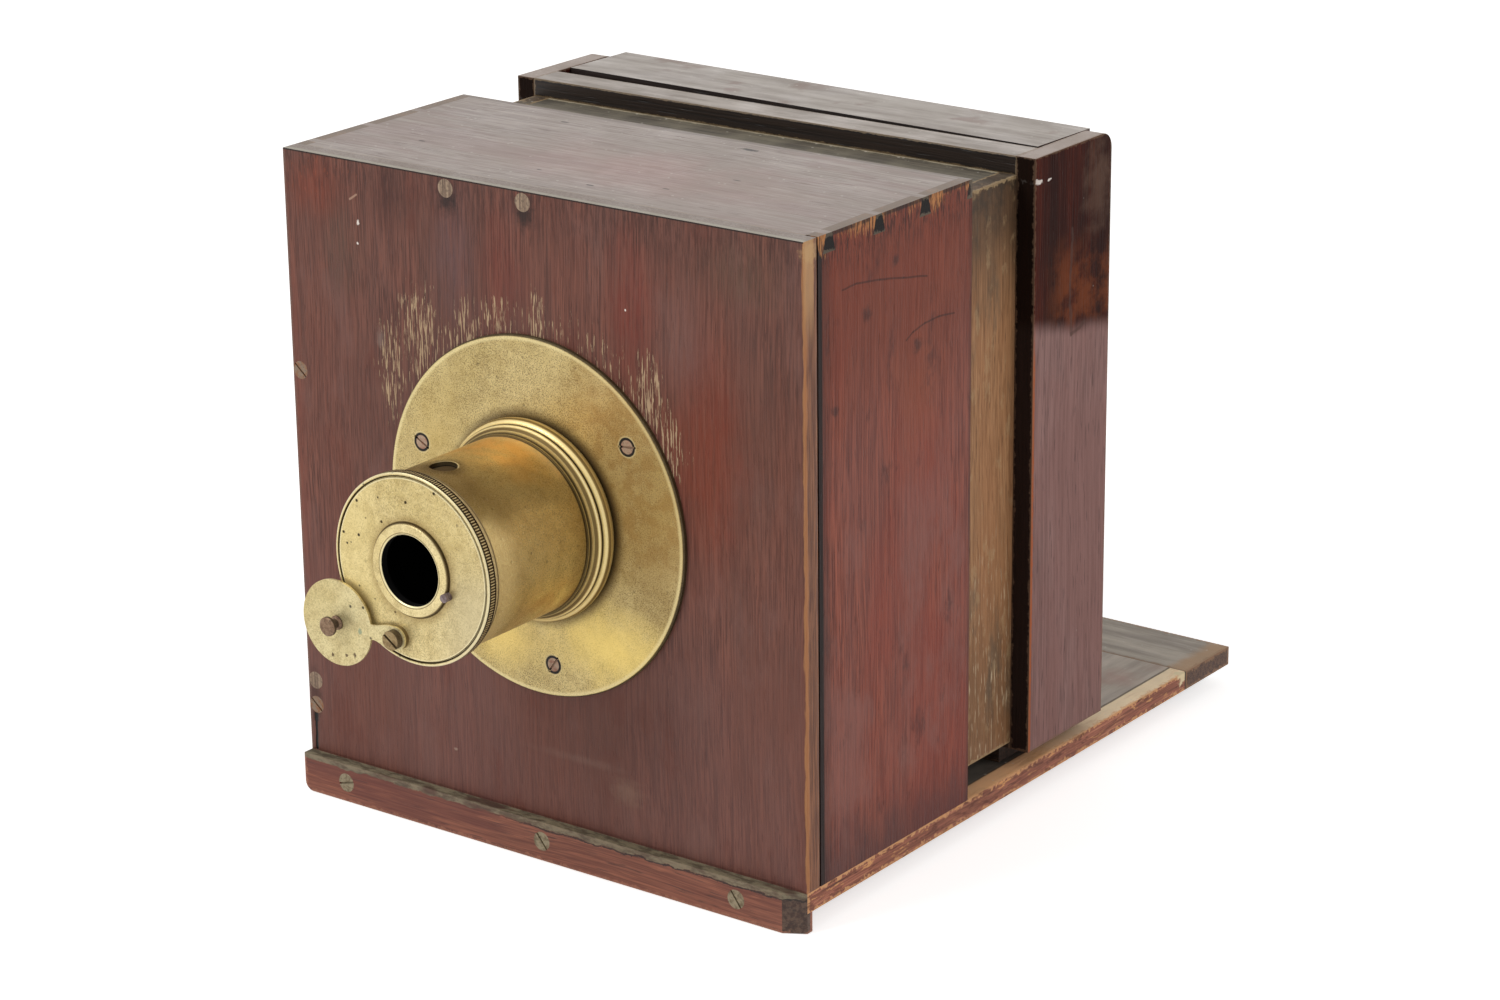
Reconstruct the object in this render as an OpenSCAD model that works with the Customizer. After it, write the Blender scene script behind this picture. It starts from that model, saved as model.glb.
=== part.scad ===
// Sliding box camera: a front box on a baseboard, a rear box that slides in it
// for focusing, a screen back pushed in from behind, and a brass lens with a
// pivoting disc shutter. +Y runs from the lens to the back and +Z is up. The
// origin lies on the centre line, below the face of the front board, at the
// level that the camera stands on. All sizes are in millimetres.

/* [Front box] */
// Width of the front box
body_w = 260; // [220:1:320]
// Height of the front box above the baseboard
body_h = 263.5; // [220:0.5:320]
// Depth of the front box with its front board
body_d = 113.5; // [100:0.5:150]
// Thickness of the front board
front_t = 8.3; // [6:0.1:11]
// Thickness of the sides
outer_side_t = 5.2; // [5.1:0.1:8]
// Thickness of the top
outer_top_t = 7.5; // [5:0.1:12]
// Width of a dovetail pin at its base
pin_w = 8; // [5:0.5:12]
// Amount that a dovetail pin narrows towards the top
pin_taper = 4; // [1:0.5:4]
// Open joint between the front board and the right side
side_gap = 0.9; // [0:0.1:0.9]

/* [Baseboard] */
// Length of the baseboard with its end cleat
base_l = 328; // [315:1:380]
// Thickness of the baseboard
base_t = 8.5; // [7:0.1:12]
// Depth of the end cleat, front to back
cleat_d = 38; // [25:1:42]
// Depth of the tongue that joins the board to the cleat
tongue_d = 7; // [4:0.5:12]
// Thickness of that tongue
tongue_t = 2.8; // [2:0.1:4]
// Height of the front batten, from the ground to the top of the baseboard
batten_h = 17; // [14:0.5:26]
// Thickness of the batten in front of the board
batten_t = 5; // [3:0.1:8]
// Depth of the batten's lip under the board
batten_lip = 3.3; // [2:0.1:6]
// Length of the slanting cut at the batten's right end
batten_cut = 8.7; // [2:0.1:15]
// Radius of the batten's lower left corner
batten_round = 4; // [1:0.5:7]
// Distance from the board's ends and sides to the feet under it
foot_inset = 18; // [10:1:30]
// Depth of a foot, front to back
foot_d = 25; // [15:1:35]

/* [Rear box] */
// Distance between the front box and the collar as it stands
extension = 40.5; // [5:0.5:50]
// Length of the rear box in front of its collar
inner_l = 102; // [80:1:102]
// Clearance round the rear box inside the front box
slide_fit = 0.4; // [0.3:0.05:0.8]
// Height of the rear box's underside above the baseboard
floor_gap = 10.9; // [9:0.1:14]
// Thickness of the rear box's sides
inner_side_t = 8.5; // [5:0.1:11]
// Thickness of its top and bottom
inner_top_t = 6; // [4:0.1:9]
// Depth of the collar, front to back
collar_d = 58; // [50:1:66]
// Thickness of the collar's cheeks
cheek_t = 9; // [6:0.1:12]
// Height of the cheeks' lower ends above the baseboard
cheek_lift = 8; // [3:0.5:8.5]
// Radius of the cheeks' upper rear corners
cheek_round = 7; // [2:0.5:12]
// Depth of the collar's top rail
rail_d = 16; // [10:0.5:20]
// Distance from the baseboard's edge to the runner board's foot
runner_inset = 11; // [8:0.5:20]
// Clearance under the runner board
runner_fit = 0.3; // [0.3:0.05:0.6]

/* [Screen back] */
// Depth of the back, front to back
back_d = 38; // [30:0.5:44]
// Thickness of the boards that frame it
back_t = 7.5; // [5:0.1:12]
// Space between the collar's rail and the middle of the back
back_gap = 5.5; // [4.5:0.1:8]
// Angle by which the back sits askew, in degrees
back_skew = 1.6; // [0:0.1:1.6]
// Clearance at each side of the back
back_fit = 0.4; // [0.3:0.05:0.8]
// Thickness of the ground glass
glass_t = 2; // [1.5:0.1:3]
// Distance from the front of the back to the ground glass
glass_set = 6; // [5:0.5:12]
// Width of the wooden beads that hold the glass
bead_w = 5; // [3:0.5:8]
// Thickness of a bead behind the glass
stop_t = 4; // [2:0.5:5]

/* [Focusing clamp] */
// Width of the bracket
bracket_w = 26; // [22:1:40]
// Thickness of the bracket's brass
bracket_t = 2.5; // [1.5:0.1:3]
// Distance from the collar to the clamp screw
clamp_reach = 20; // [16:1:24]
// Radius of the clamp screw's shank
clamp_r = 3; // [2.5:0.1:4]
// Radius of its milled head
clamp_head_r = 11; // [8:0.5:13]
// Height of its milled head
clamp_head_h = 4.5; // [3:0.1:5]
// Side of the square nut
nut_w = 20; // [14:1:26]
// Thickness of the nut
nut_t = 3; // [2:0.1:3.5]
// Wood left between the clamp's slot and the end cleat
slot_end = 6.5; // [4:0.5:20]

/* [Lens] */
// Distance of the lens from the middle of the front board, to the left
lens_left = 1.3; // [0:0.1:3]
// Distance of the lens below the middle of the front board
lens_low = 1.3; // [0:0.1:3]
// Radius of the flange
flange_r = 75; // [64:0.5:90]
// Thickness of the flange
flange_t = 2.3; // [1.8:0.1:3.5]
// Distance of the flange's screws from its edge
flange_screw_in = 13.5; // [7:0.5:18]
// Radius of the lens tube
tube_r = 36.8; // [35:0.1:42]
// Wall of the lens tube
tube_wall = 1.8; // [1.4:0.1:2.5]
// Length of the tube in front of the board
tube_l = 68.4; // [50:0.1:90]
// Length of the tube behind the board's face
tube_tail = 14; // [12:0.5:16]
// Radius of the half round moulding at the flange
bead_r = 3.2; // [2:0.1:4]
// Amount that the front cap's milled rim stands out round the tube
cap_out = 2.1; // [0.5:0.1:4]
// Length of the front cap in front of the tube
cap_l = 8.1; // [6:0.1:12]
// Length of its milled rim
cap_rim_l = 4.2; // [3:0.1:5]
// Thickness of the cap's front plate
cap_plate = 2.2; // [1.6:0.1:3]
// Length of the cap's sleeve inside the tube
sleeve_l = 20; // [14:0.5:24]
// Wall of that sleeve
sleeve_wall = 1.6; // [1:0.1:2]
// Running clearance of the sleeve in the tube
sleeve_fit = 0.08; // [0.02:0.01:0.1]
// Radius of the opening
aperture_r = 14.3; // [8:0.1:16]
// Outer radius of the raised ring round the opening
ring_r = 18.9; // [17:0.1:19.5]
// Height of that ring
ring_h = 1.4; // [0.8:0.1:2]
// Radius of the round port in the top of the tube
port_r = 5.5; // [3:0.5:6]
// Wall of the cell that holds the lens elements
cell_wall = 3.2; // [2.2:0.1:6]
// Thickness of the front element at its centre
flint_t = 2.5; // [2.5:0.1:4]
// Thickness of the rear element at its centre
crown_t = 6; // [5:0.1:7]

/* [Shutter] */
// Radius of the shutter disc
disc_r = 17.7; // [16.5:0.1:18.2]
// Thickness of the disc
disc_t = 0.9; // [0.6:0.1:1.4]
// Distance from the pivot to the middle of the disc
arm_l = 30; // [28:0.1:31]
// Radius of the disc's tail round the pivot
tail_r = 4.8; // [4:0.1:6]
// Radius of the pivot screw's shank
pivot_r = 1.6; // [1.2:0.1:2]
// Radius of the pivot screw's head
pivot_head_r = 3.9; // [3:0.1:5]
// Height of the pivot screw's head
pivot_head_h = 3; // [2:0.1:4]
// Radius of the shutter knob's head
knob_r = 3.9; // [3:0.1:5]
// Height of the shutter knob
knob_h = 6.5; // [5:0.1:9]

/* [Hidden] */
$fn = 96;

// Clearances: a cut's overrun, a face to face gap between bodies, a running fit
cut = 1;
gap = 0.3;
run = 0.06;
loose = 0.5;

// Levels and planes shared by several pieces
half_w = body_w / 2;
base_top = batten_h;
base_under = base_top - base_t;
body_top = base_top + body_h;
lens_z = base_top + body_h / 2 - lens_low;
board_l = base_l - cleat_d;
outer_bottom_t = floor_gap - slide_fit;
inner_w = body_w - 2 * outer_side_t - 2 * slide_fit;
inner_z0 = base_top + floor_gap;
inner_z1 = body_top - outer_top_t - slide_fit;
collar_y0 = body_d + extension;
collar_y1 = collar_y0 + collar_d;
rail_y1 = collar_y0 + rail_d;
inner_y0 = collar_y0 - inner_l;
runner_z0 = base_top + runner_fit;
cheek_z0 = base_top + cheek_lift;
runner_w = body_w - 2 * runner_inset;

// The back stands on the runner board and fits between the cheeks when askew
back_w = (inner_w - 2 * back_fit - back_d * sin(back_skew)) / cos(back_skew);
back_z0 = inner_z0 + gap;
back_y = rail_y1 + back_gap + back_d / 2;
glass_fit = 0.5;

// Clamp and travel. Pushed in, the rear box stops just behind the front box or
// just behind its front board. Drawn out, it keeps some of its length inside.
kept_in = 12;
clamp_y = collar_y1 + clamp_reach;
travel_in = min(extension - loose, inner_y0 - front_t - loose);
travel_out = min(board_l - slot_end - clamp_y - loose - clamp_r, inner_l - extension - kept_in);
slot_w = 2 * clamp_r + 2 * loose;
clamp_nut_z1 = base_under - gap;

// Lens, measured forward from the front board's face along its axis
tube_in = tube_r - tube_wall;
board_hole_r = tube_r;
flange_screw_r = flange_r - flange_screw_in;
sleeve_r = tube_in - sleeve_fit;
cap_r = tube_r + cap_out;
cap_front = tube_l + cap_l;
port_turn = 1;
port_at = tube_l - 0.6 * sleeve_l;
glass_r = tube_in - cell_wall;
cell_lip = 1.8;
front_curve = 150;
cement_curve = 120;
rear_curve = 80;
glass_front = -3;
cement_at = glass_front - flint_t;
glass_rear = cement_at - crown_t;
seat_at = glass_front + sag(front_curve, glass_r);
ring_wall = 1.6;
ring_seat = glass_rear + sag(rear_curve, glass_r - ring_wall);

// Shutter: pivot below the lens axis, so that the closed disc covers the opening
pivot_turn = 75.5;
open_turn = 104;
pivot_x = -arm_l * cos(pivot_turn);
pivot_up = -arm_l * sin(pivot_turn);
disc_back = cap_front + ring_h + gap;
disc_face = disc_back + disc_t;
washer_t = ring_h + gap - 0.1;
lug_r = 1.7;
lug_turn = -20.6;
lug_at = disc_r + gap + lug_r;
lug_h = disc_face + 0.6;

function sag(curve, r) = curve - sqrt(curve * curve - r * r);

// Shared shapes

// A board from one corner to the opposite one
module board(from, to) {
    translate(from) cube(to - from);
}

// A profile drawn in Y and Z, as long as the board in X
module along_x(x0, len) {
    translate([x0, 0, 0]) rotate([90, 0, 90]) linear_extrude(len) children();
}

// Turned and flat lens parts, drawn looking into the lens, with Z forward
module on_lens_axis() {
    translate([-lens_left, 0, lens_z]) rotate([90, 0, 0]) children();
}

// A pipe about the lens axis
module tube(r_out, r_in, h0, h1) {
    translate([0, 0, h0]) difference() {
        cylinder(h = h1 - h0, r = r_out);
        translate([0, 0, -cut]) cylinder(h = h1 - h0 + 2 * cut, r = r_in);
    }
}

// Common wood screws: radius of the head and of the shank
wood_head_r = 4;
wood_shank_r = 1.9;

// The room that a countersunk wood screw takes, its head's face at Z = 0
module screw_room(head_r, shank_r, len) {
    head_h = head_r - shank_r;
    rotate_extrude() polygon([
        [0, 0], [head_r, 0], [head_r, -0.5], [shank_r, -0.5 - head_h],
        [shank_r, -len + shank_r], [0, -len]
    ]);
}

// A countersunk wood screw with its slot
module wood_screw(head_r, shank_r, len, slot_turn) {
    slot = head_r / 5;
    difference() {
        screw_room(head_r, shank_r, len);
        rotate(slot_turn) translate([-head_r - cut, -slot / 2, -slot])
            cube([2 * (head_r + cut), slot, slot + cut]);
    }
}

// Baseboard

module base_slot() {
    y0 = clamp_y - travel_in - loose - clamp_r;
    y1 = clamp_y + travel_out + loose + clamp_r;
    board([-slot_w / 2, y0 + slot_w / 2, base_under - cut], [slot_w / 2, y1 - slot_w / 2, base_top + cut]);
    for (y = [y0 + slot_w / 2, y1 - slot_w / 2])
        translate([0, y, base_under - cut]) cylinder(h = base_t + 2 * cut, r = slot_w / 2);
}

module base_tongue() {
    mid = base_under + base_t / 2;
    board([-half_w + tongue_d, board_l - cut, mid - tongue_t / 2],
        [half_w - tongue_d, board_l + tongue_d, mid + tongue_t / 2]);
}

module base_board() {
    color("sienna") difference() {
        union() {
            board([-half_w, 0, base_under], [half_w, board_l, base_top]);
            base_tongue();
        }
        base_slot();
        base_screw_places() screw_room(wood_head_r, wood_shank_r, base_screw_l);
        foot_screw_places() screw_room(wood_head_r, wood_shank_r, foot_screw_l);
        batten_screw_places() screw_room(batten_head_r, batten_shank_r, batten_screw_l);
    }
}

module base_end_cleat() {
    color("saddlebrown") difference() {
        board([-half_w, board_l, base_under], [half_w, base_l, base_top]);
        base_tongue();
        foot_screw_places() screw_room(wood_head_r, wood_shank_r, foot_screw_l);
    }
}

batten_head_r = 4.1;
batten_shank_r = 1.7;
batten_screw_l = 20;
batten_screw_x = [-0.41, 0, 0.38];
batten_slot_turn = [15, -52, -54];

// The batten's screws enter at half its height
module batten_screw_place(i) {
    translate([batten_screw_x[i] * body_w, -batten_t, batten_h / 2]) rotate([90, 0, 0]) children();
}

module batten_screw_places() {
    for (i = [0:2]) batten_screw_place(i) children();
}

module front_batten() {
    color("brown") difference() {
        along_x(-half_w, body_w) union() {
            translate([-batten_t, 0]) square([batten_t, base_top]);
            square([batten_lip, base_under]);
        }
        translate([0, 0, -cut]) linear_extrude(base_top + 2 * cut) polygon([
            [half_w - 1.1 * batten_cut, -1.1 * batten_t],
            [half_w + 0.1 * batten_cut, 0.1 * batten_t],
            [half_w + batten_cut, -1.1 * batten_t]
        ]);
        translate([-half_w, batten_lip + cut, 0]) rotate([90, 0, 0])
            linear_extrude(batten_t + batten_lip + 2 * cut) difference() {
                translate([-cut, -cut]) square(batten_round + cut);
                translate([batten_round, batten_round]) circle(batten_round);
            }
        batten_screw_places() screw_room(batten_head_r, batten_shank_r, batten_screw_l);
    }
}

module batten_screws() {
    color("darkgoldenrod") for (i = [0:2]) batten_screw_place(i)
        wood_screw(batten_head_r, batten_shank_r, batten_screw_l, batten_slot_turn[i]);
}

foot_screw_l = base_under + 0.65 * base_t;

module foot_screw_places() {
    for (x = [-1, 1], y = [foot_inset, base_l - foot_inset])
        translate([x * (half_w - 2 * foot_inset), y, 0]) rotate([180, 0, 0]) children();
}

module foot(y0) {
    difference() {
        board([-half_w + foot_inset, y0, 0], [half_w - foot_inset, y0 + foot_d, base_under]);
        foot_screw_places() screw_room(wood_head_r, wood_shank_r, foot_screw_l);
        batten_screw_places() screw_room(batten_head_r, batten_shank_r, batten_screw_l);
    }
}

module front_foot() {
    color("saddlebrown") foot(batten_lip);
}

module rear_foot() {
    color("saddlebrown") foot(base_l - foot_inset - foot_d / 2);
}

module foot_screws() {
    color("darkgoldenrod") foot_screw_places() wood_screw(wood_head_r, wood_shank_r, foot_screw_l, 20);
}

base_screw_l = base_t + 0.7 * outer_bottom_t;

module base_screw_places() {
    for (x = [-1, 0, 1], y = [0.32, 0.82])
        translate([x * (half_w - 1.6 * foot_inset), y * body_d, base_under]) rotate([180, 0, 0]) children();
}

module base_screws() {
    color("darkgoldenrod") base_screw_places() wood_screw(wood_head_r, wood_shank_r, base_screw_l, 60);
}

// Front box

// Screws and plugs in the front board, as seen from the front. The left column
// enters the side's front edge and the upper row enters the top's front edge.
board_head_r = 3.8;
board_shank_r = 1.1;
board_screw_l = 22;
side_screw_x = -half_w + board_head_r + 0.1;
side_screw_z = [0.08, 0.644];
side_plug_z = [0.122];
top_plug_x = [-0.168, -0.017];

module board_screw_places() {
    for (share = side_screw_z)
        translate([side_screw_x, 0, base_top + share * body_h]) rotate([90, 0, 0]) children();
}

module board_plug_places() {
    for (share = side_plug_z)
        translate([side_screw_x, 0, base_top + share * body_h]) rotate([90, 0, 0]) children();
    for (share = top_plug_x)
        translate([share * body_w, 0, body_top - board_head_r - 0.8]) rotate([90, 0, 0]) children();
}

plug_l = 5;

module front_board() {
    color("maroon") difference() {
        board([-half_w, 0, base_top], [half_w, front_t, body_top]);
        on_lens_axis() translate([0, 0, -front_t - cut]) cylinder(h = front_t + 2 * cut, r = board_hole_r);
        flange_screw_places() screw_room(flange_head_r, wood_shank_r, flange_screw_l);
        board_screw_places() screw_room(board_head_r, board_shank_r, board_screw_l);
        board_plug_places() translate([0, 0, -plug_l]) cylinder(h = plug_l + cut, r = board_head_r);
    }
}

module front_board_screws() {
    color("gray") board_screw_places() wood_screw(board_head_r, board_shank_r, board_screw_l, -41);
}

module front_board_plugs() {
    color("tan") board_plug_places() translate([0, 0, -plug_l]) cylinder(h = plug_l, r = board_head_r);
}

// One dovetail pin through a side, drawn in Y and Z and hanging from the top
module pin_profile(y) {
    z0 = body_top - outer_top_t;
    top_w = pin_w - pin_taper;
    polygon([
        [y - pin_w / 2, z0], [y + pin_w / 2, z0],
        [y + top_w / 2, body_top], [y - top_w / 2, body_top]
    ]);
}

// Places of the pins as shares of the box's depth, the last one a half pin
pin_share = [0.145, 0.435, 0.71, 1];

// The pins at one end of the top
module pins(x0) {
    along_x(x0, outer_side_t) intersection() {
        union() for (share = pin_share) pin_profile(share * body_d);
        translate([0, body_top - outer_top_t]) square([body_d, outer_top_t]);
    }
}

module outer_top() {
    side_in = half_w - outer_side_t;
    color("rosybrown") union() {
        board([-side_in, front_t, body_top - outer_top_t], [side_in, body_d, body_top]);
        pins(-half_w);
        pins(side_in);
    }
}

module outer_bottom() {
    side_in = half_w - outer_side_t;
    color("saddlebrown") difference() {
        board([-side_in, front_t, base_top], [side_in, body_d, base_top + outer_bottom_t]);
        base_screw_places() screw_room(wood_head_r, wood_shank_r, base_screw_l);
    }
}

module outer_side(x0, y_front) {
    difference() {
        board([x0, y_front, base_top], [x0 + outer_side_t, body_d, body_top]);
        pins(x0);
        board_screw_places() screw_room(board_head_r, board_shank_r, board_screw_l);
    }
}

module outer_left_side() {
    color("maroon") outer_side(-half_w, front_t);
}

module outer_right_side() {
    color("maroon") outer_side(half_w - outer_side_t, front_t + side_gap);
}

// Lens

flange_head_r = 4.3;
flange_screw_l = flange_t + 0.8 * front_t;
flange_screw_turn = [38.7, 160, 277.4];
flange_slot_turn = [-33, -9, -43];

module flange_screw_place(i) {
    on_lens_axis() rotate(flange_screw_turn[i]) translate([flange_screw_r, 0, flange_t]) children();
}

module flange_screw_places() {
    for (i = [0:2]) flange_screw_place(i) children();
}

module lens_flange() {
    bevel = flange_t / 3;
    color("darkkhaki") difference() {
        on_lens_axis() rotate_extrude() polygon([
            [board_hole_r, 0], [flange_r, 0], [flange_r, flange_t - bevel],
            [flange_r - 0.7 * bevel, flange_t], [board_hole_r, flange_t]
        ]);
        flange_screw_places() screw_room(flange_head_r, wood_shank_r, flange_screw_l);
    }
}

module flange_screws() {
    color("gray") for (i = [0:2]) flange_screw_place(i)
        wood_screw(flange_head_r, wood_shank_r, flange_screw_l, flange_slot_turn[i]);
}

// Half round moulding, cove and two fillets, where the tube meets the flange
module moulding_profile() {
    bead_h = flange_t + bead_r;
    cove_h = bead_h + bead_r;
    translate([tube_r + 2.2, bead_h]) circle(bead_r, $fn = 48);
    translate([tube_in, 0]) polygon([
        [0, flange_t], [tube_wall + 2.2, flange_t], [tube_wall + 2.2, cove_h],
        [tube_wall + 3.4, cove_h + 0.2], [tube_wall + 3.2, cove_h + 1.2],
        [tube_wall + 2, cove_h + 2.6], [tube_wall + 1.5, cove_h + 3.2],
        [tube_wall + 1.5, cove_h + 4.2], [tube_wall + 0.7, cove_h + 4.4],
        [tube_wall + 0.7, cove_h + 5.6], [tube_wall, cove_h + 5.8], [0, cove_h + 5.8]
    ]);
}

module lens_barrel() {
    color("goldenrod") on_lens_axis() difference() {
        rotate_extrude() union() {
            translate([tube_in, -tube_tail]) square([board_hole_r - tube_in, tube_tail + tube_l]);
            moulding_profile();
        }
        rotate(-port_turn) translate([0, 0, port_at])
            rotate([-90, 0, 0]) translate([0, 0, tube_in / 2]) cylinder(h = tube_r, r = port_r);
    }
}

module lens_cell() {
    back = -tube_tail + 0.4;
    front = seat_at + cell_lip;
    color("goldenrod") on_lens_axis() rotate_extrude() polygon([
        [glass_r, back], [tube_in, back], [tube_in, front], [glass_r - cell_lip, front],
        [glass_r - cell_lip, seat_at], [glass_r, seat_at]
    ]);
}

module lens_retaining_ring() {
    color("darkgoldenrod") on_lens_axis() tube(glass_r, glass_r - ring_wall, -tube_tail + 0.4, ring_seat);
}

// A lens element between two spherical faces, both hollow towards the front
module element(r, front_at, front_r, rear_at, rear_r) {
    intersection() {
        translate([0, 0, rear_at]) cylinder(h = 4 * (front_at - rear_at), r = r);
        difference() {
            translate([0, 0, rear_at + rear_r]) sphere(rear_r, $fn = 128);
            translate([0, 0, front_at + front_r]) sphere(front_r, $fn = 128);
        }
    }
}

module front_element() {
    color("lightcyan") on_lens_axis() element(glass_r, glass_front, front_curve, cement_at, cement_curve);
}

module rear_element() {
    color("paleturquoise") on_lens_axis() element(glass_r, cement_at, cement_curve, glass_rear, rear_curve);
}

// Front cap and shutter

module front_cap() {
    rim = 0.9;
    groove = 0.6;
    plate_back = cap_front - cap_plate;
    rim_back = cap_front - cap_rim_l;
    shoulder_r = tube_r + 0.3 * cap_out;
    color("khaki") on_lens_axis() difference() {
        rotate_extrude() polygon([
            [aperture_r, plate_back], [sleeve_r - sleeve_wall, plate_back],
            [sleeve_r - sleeve_wall, tube_l - sleeve_l], [sleeve_r, tube_l - sleeve_l],
            [sleeve_r, tube_l + gap], [shoulder_r, tube_l + gap],
            [shoulder_r, rim_back], [cap_r, rim_back], [cap_r, cap_front - 0.4],
            [cap_r - 0.4, cap_front], [cap_r - rim - 0.2, cap_front],
            [cap_r - rim - 0.5, cap_front - groove], [cap_r - 2 * rim, cap_front - groove],
            [cap_r - 2 * rim - 0.3, cap_front], [aperture_r, cap_front]
        ]);
        translate([pivot_x, pivot_up, plate_back - cut]) cylinder(h = cap_plate + 2 * cut, r = pivot_r);
    }
}

module aperture_ring() {
    edge = 0.5;
    color("khaki") on_lens_axis() rotate_extrude() polygon([
        [aperture_r, cap_front], [ring_r, cap_front], [ring_r, cap_front + ring_h - edge],
        [ring_r - edge, cap_front + ring_h], [aperture_r + edge, cap_front + ring_h],
        [aperture_r, cap_front + ring_h - edge]
    ]);
}

module stop_lug() {
    color("gray") on_lens_axis() difference() {
        rotate(lug_turn) translate([lug_at, 0, cap_front]) cylinder(h = lug_h - cap_front, r = lug_r);
        translate([0, 0, cap_front - cut]) cylinder(h = ring_h + cut, r = ring_r);
    }
}

module pivot_screw() {
    slot = 1;
    head_at = disc_face + 0.1;
    plate_back = cap_front - cap_plate;
    color("gray") on_lens_axis() translate([pivot_x, pivot_up, 0]) difference() {
        union() {
            translate([0, 0, plate_back]) cylinder(h = head_at - plate_back + 0.5, r = pivot_r);
            translate([0, 0, head_at]) cylinder(h = pivot_head_h, r = pivot_head_r);
        }
        rotate(-35) translate([-pivot_head_r - cut, -slot / 2, head_at + pivot_head_h - 1.2])
            cube([2 * (pivot_head_r + cut), slot, 1.2 + cut]);
    }
}

module pivot_washer() {
    color("goldenrod") on_lens_axis() translate([pivot_x, pivot_up, 0])
        tube(tail_r, pivot_r, cap_front, cap_front + washer_t);
}

// The disc swings on the pivot; its place as it stands is open, to the left
module shutter_disc() {
    neck = 0.65 * tail_r;
    edge = arm_l - disc_r;
    color("khaki") on_lens_axis() translate([pivot_x, pivot_up, disc_back])
        rotate(pivot_turn + open_turn) difference() {
            linear_extrude(disc_t) union() {
                translate([arm_l, 0]) circle(disc_r);
                circle(tail_r);
                polygon([
                    [0, -tail_r], [0.3 * edge, -tail_r], [0.85 * edge, -neck], [edge + 2, -neck],
                    [edge + 2, neck], [0.85 * edge, neck], [0.3 * edge, tail_r], [0, tail_r]
                ]);
            }
            translate([0, 0, -cut]) cylinder(h = disc_t + 2 * cut, r = pivot_r + run);
        }
}

module shutter_knob() {
    head_h = 0.4 * knob_h;
    color("gray") on_lens_axis() translate([pivot_x, pivot_up, disc_face])
        rotate(pivot_turn + open_turn) translate([arm_l, 0, 0]) rotate_extrude() polygon([
            [0, 0], [0.75 * knob_r, 0], [0.75 * knob_r, 0.6], [0.5 * knob_r, 1.2],
            [0.42 * knob_r, knob_h - head_h - 0.5], [0.8 * knob_r, knob_h - head_h],
            [knob_r, knob_h - 0.7 * head_h], [knob_r, knob_h - 0.25 * head_h],
            [0.85 * knob_r, knob_h - 0.08 * head_h], [0.5 * knob_r, knob_h], [0, knob_h]
        ]);
}

// Rear box

module inner_side(x0) {
    board([x0, inner_y0, inner_z0], [x0 + inner_side_t, rail_y1, inner_z1]);
}

module inner_left_side() {
    color("peru") inner_side(-inner_w / 2);
}

module inner_right_side() {
    color("peru") inner_side(inner_w / 2 - inner_side_t);
}

module inner_level(z0) {
    x = inner_w / 2 - inner_side_t;
    board([-x, inner_y0, z0], [x, rail_y1, z0 + inner_top_t]);
}

module inner_top() {
    color("dimgray") inner_level(inner_z1 - inner_top_t);
}

module inner_bottom() {
    color("dimgray") inner_level(inner_z0);
}

module collar_top_rail() {
    color("dimgray") board([-inner_w / 2, collar_y0, inner_z1], [inner_w / 2, rail_y1, body_top]);
}

// The board that the collar stands on, cut back where it passes the cheeks
module runner_board() {
    color("saddlebrown") difference() {
        union() {
            board([-runner_w / 2, collar_y0, runner_z0], [runner_w / 2, collar_y1, inner_z0]);
            board([-inner_w / 2, collar_y0, cheek_z0], [inner_w / 2, collar_y1, inner_z0]);
        }
        bracket_screw_places() screw_room(bracket_head_r, bracket_shank_r, bracket_screw_l);
    }
}

module cheek(x0) {
    r = cheek_round;
    along_x(x0, cheek_t) union() {
        translate([collar_y0, cheek_z0]) square([collar_d - r, body_top - cheek_z0]);
        translate([collar_y0, cheek_z0]) square([collar_d, body_top - cheek_z0 - r]);
        translate([collar_y1 - r, body_top - r]) circle(r);
    }
}

module left_cheek() {
    color("brown") cheek(-inner_w / 2 - cheek_t);
}

module right_cheek() {
    color("brown") cheek(inner_w / 2);
}

// Focusing clamp

bracket_head_r = 3;
bracket_shank_r = 1.5;
bracket_screw_l = 16;

module bracket_screw_places() {
    middle = (runner_z0 + bracket_t + inner_z0) / 2;
    for (x = [-1, 1])
        translate([x * 0.3 * bracket_w, collar_y1 + bracket_t, middle]) rotate([-90, 0, 0]) children();
}

module clamp_bracket() {
    reach = clamp_reach + clamp_head_r;
    corner = [-bracket_w / 2, collar_y1, runner_z0];
    color("goldenrod") difference() {
        union() {
            board(corner, [bracket_w / 2, collar_y1 + bracket_t, inner_z0]);
            board(corner, [bracket_w / 2, collar_y1 + reach, runner_z0 + bracket_t]);
        }
        translate([0, clamp_y, runner_z0 - cut]) cylinder(h = bracket_t + 2 * cut, r = clamp_r + run);
        bracket_screw_places() screw_room(bracket_head_r, bracket_shank_r, bracket_screw_l);
    }
}

module bracket_screws() {
    color("gray") bracket_screw_places() wood_screw(bracket_head_r, bracket_shank_r, bracket_screw_l, 70);
}

module clamp_nut() {
    color("goldenrod") difference() {
        translate([0, clamp_y, clamp_nut_z1 - nut_t / 2]) cube([nut_w, nut_w, nut_t], center = true);
        translate([0, clamp_y, clamp_nut_z1 - nut_t - cut])
            cylinder(h = nut_t + 2 * cut, r = clamp_r + run);
    }
}

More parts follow.
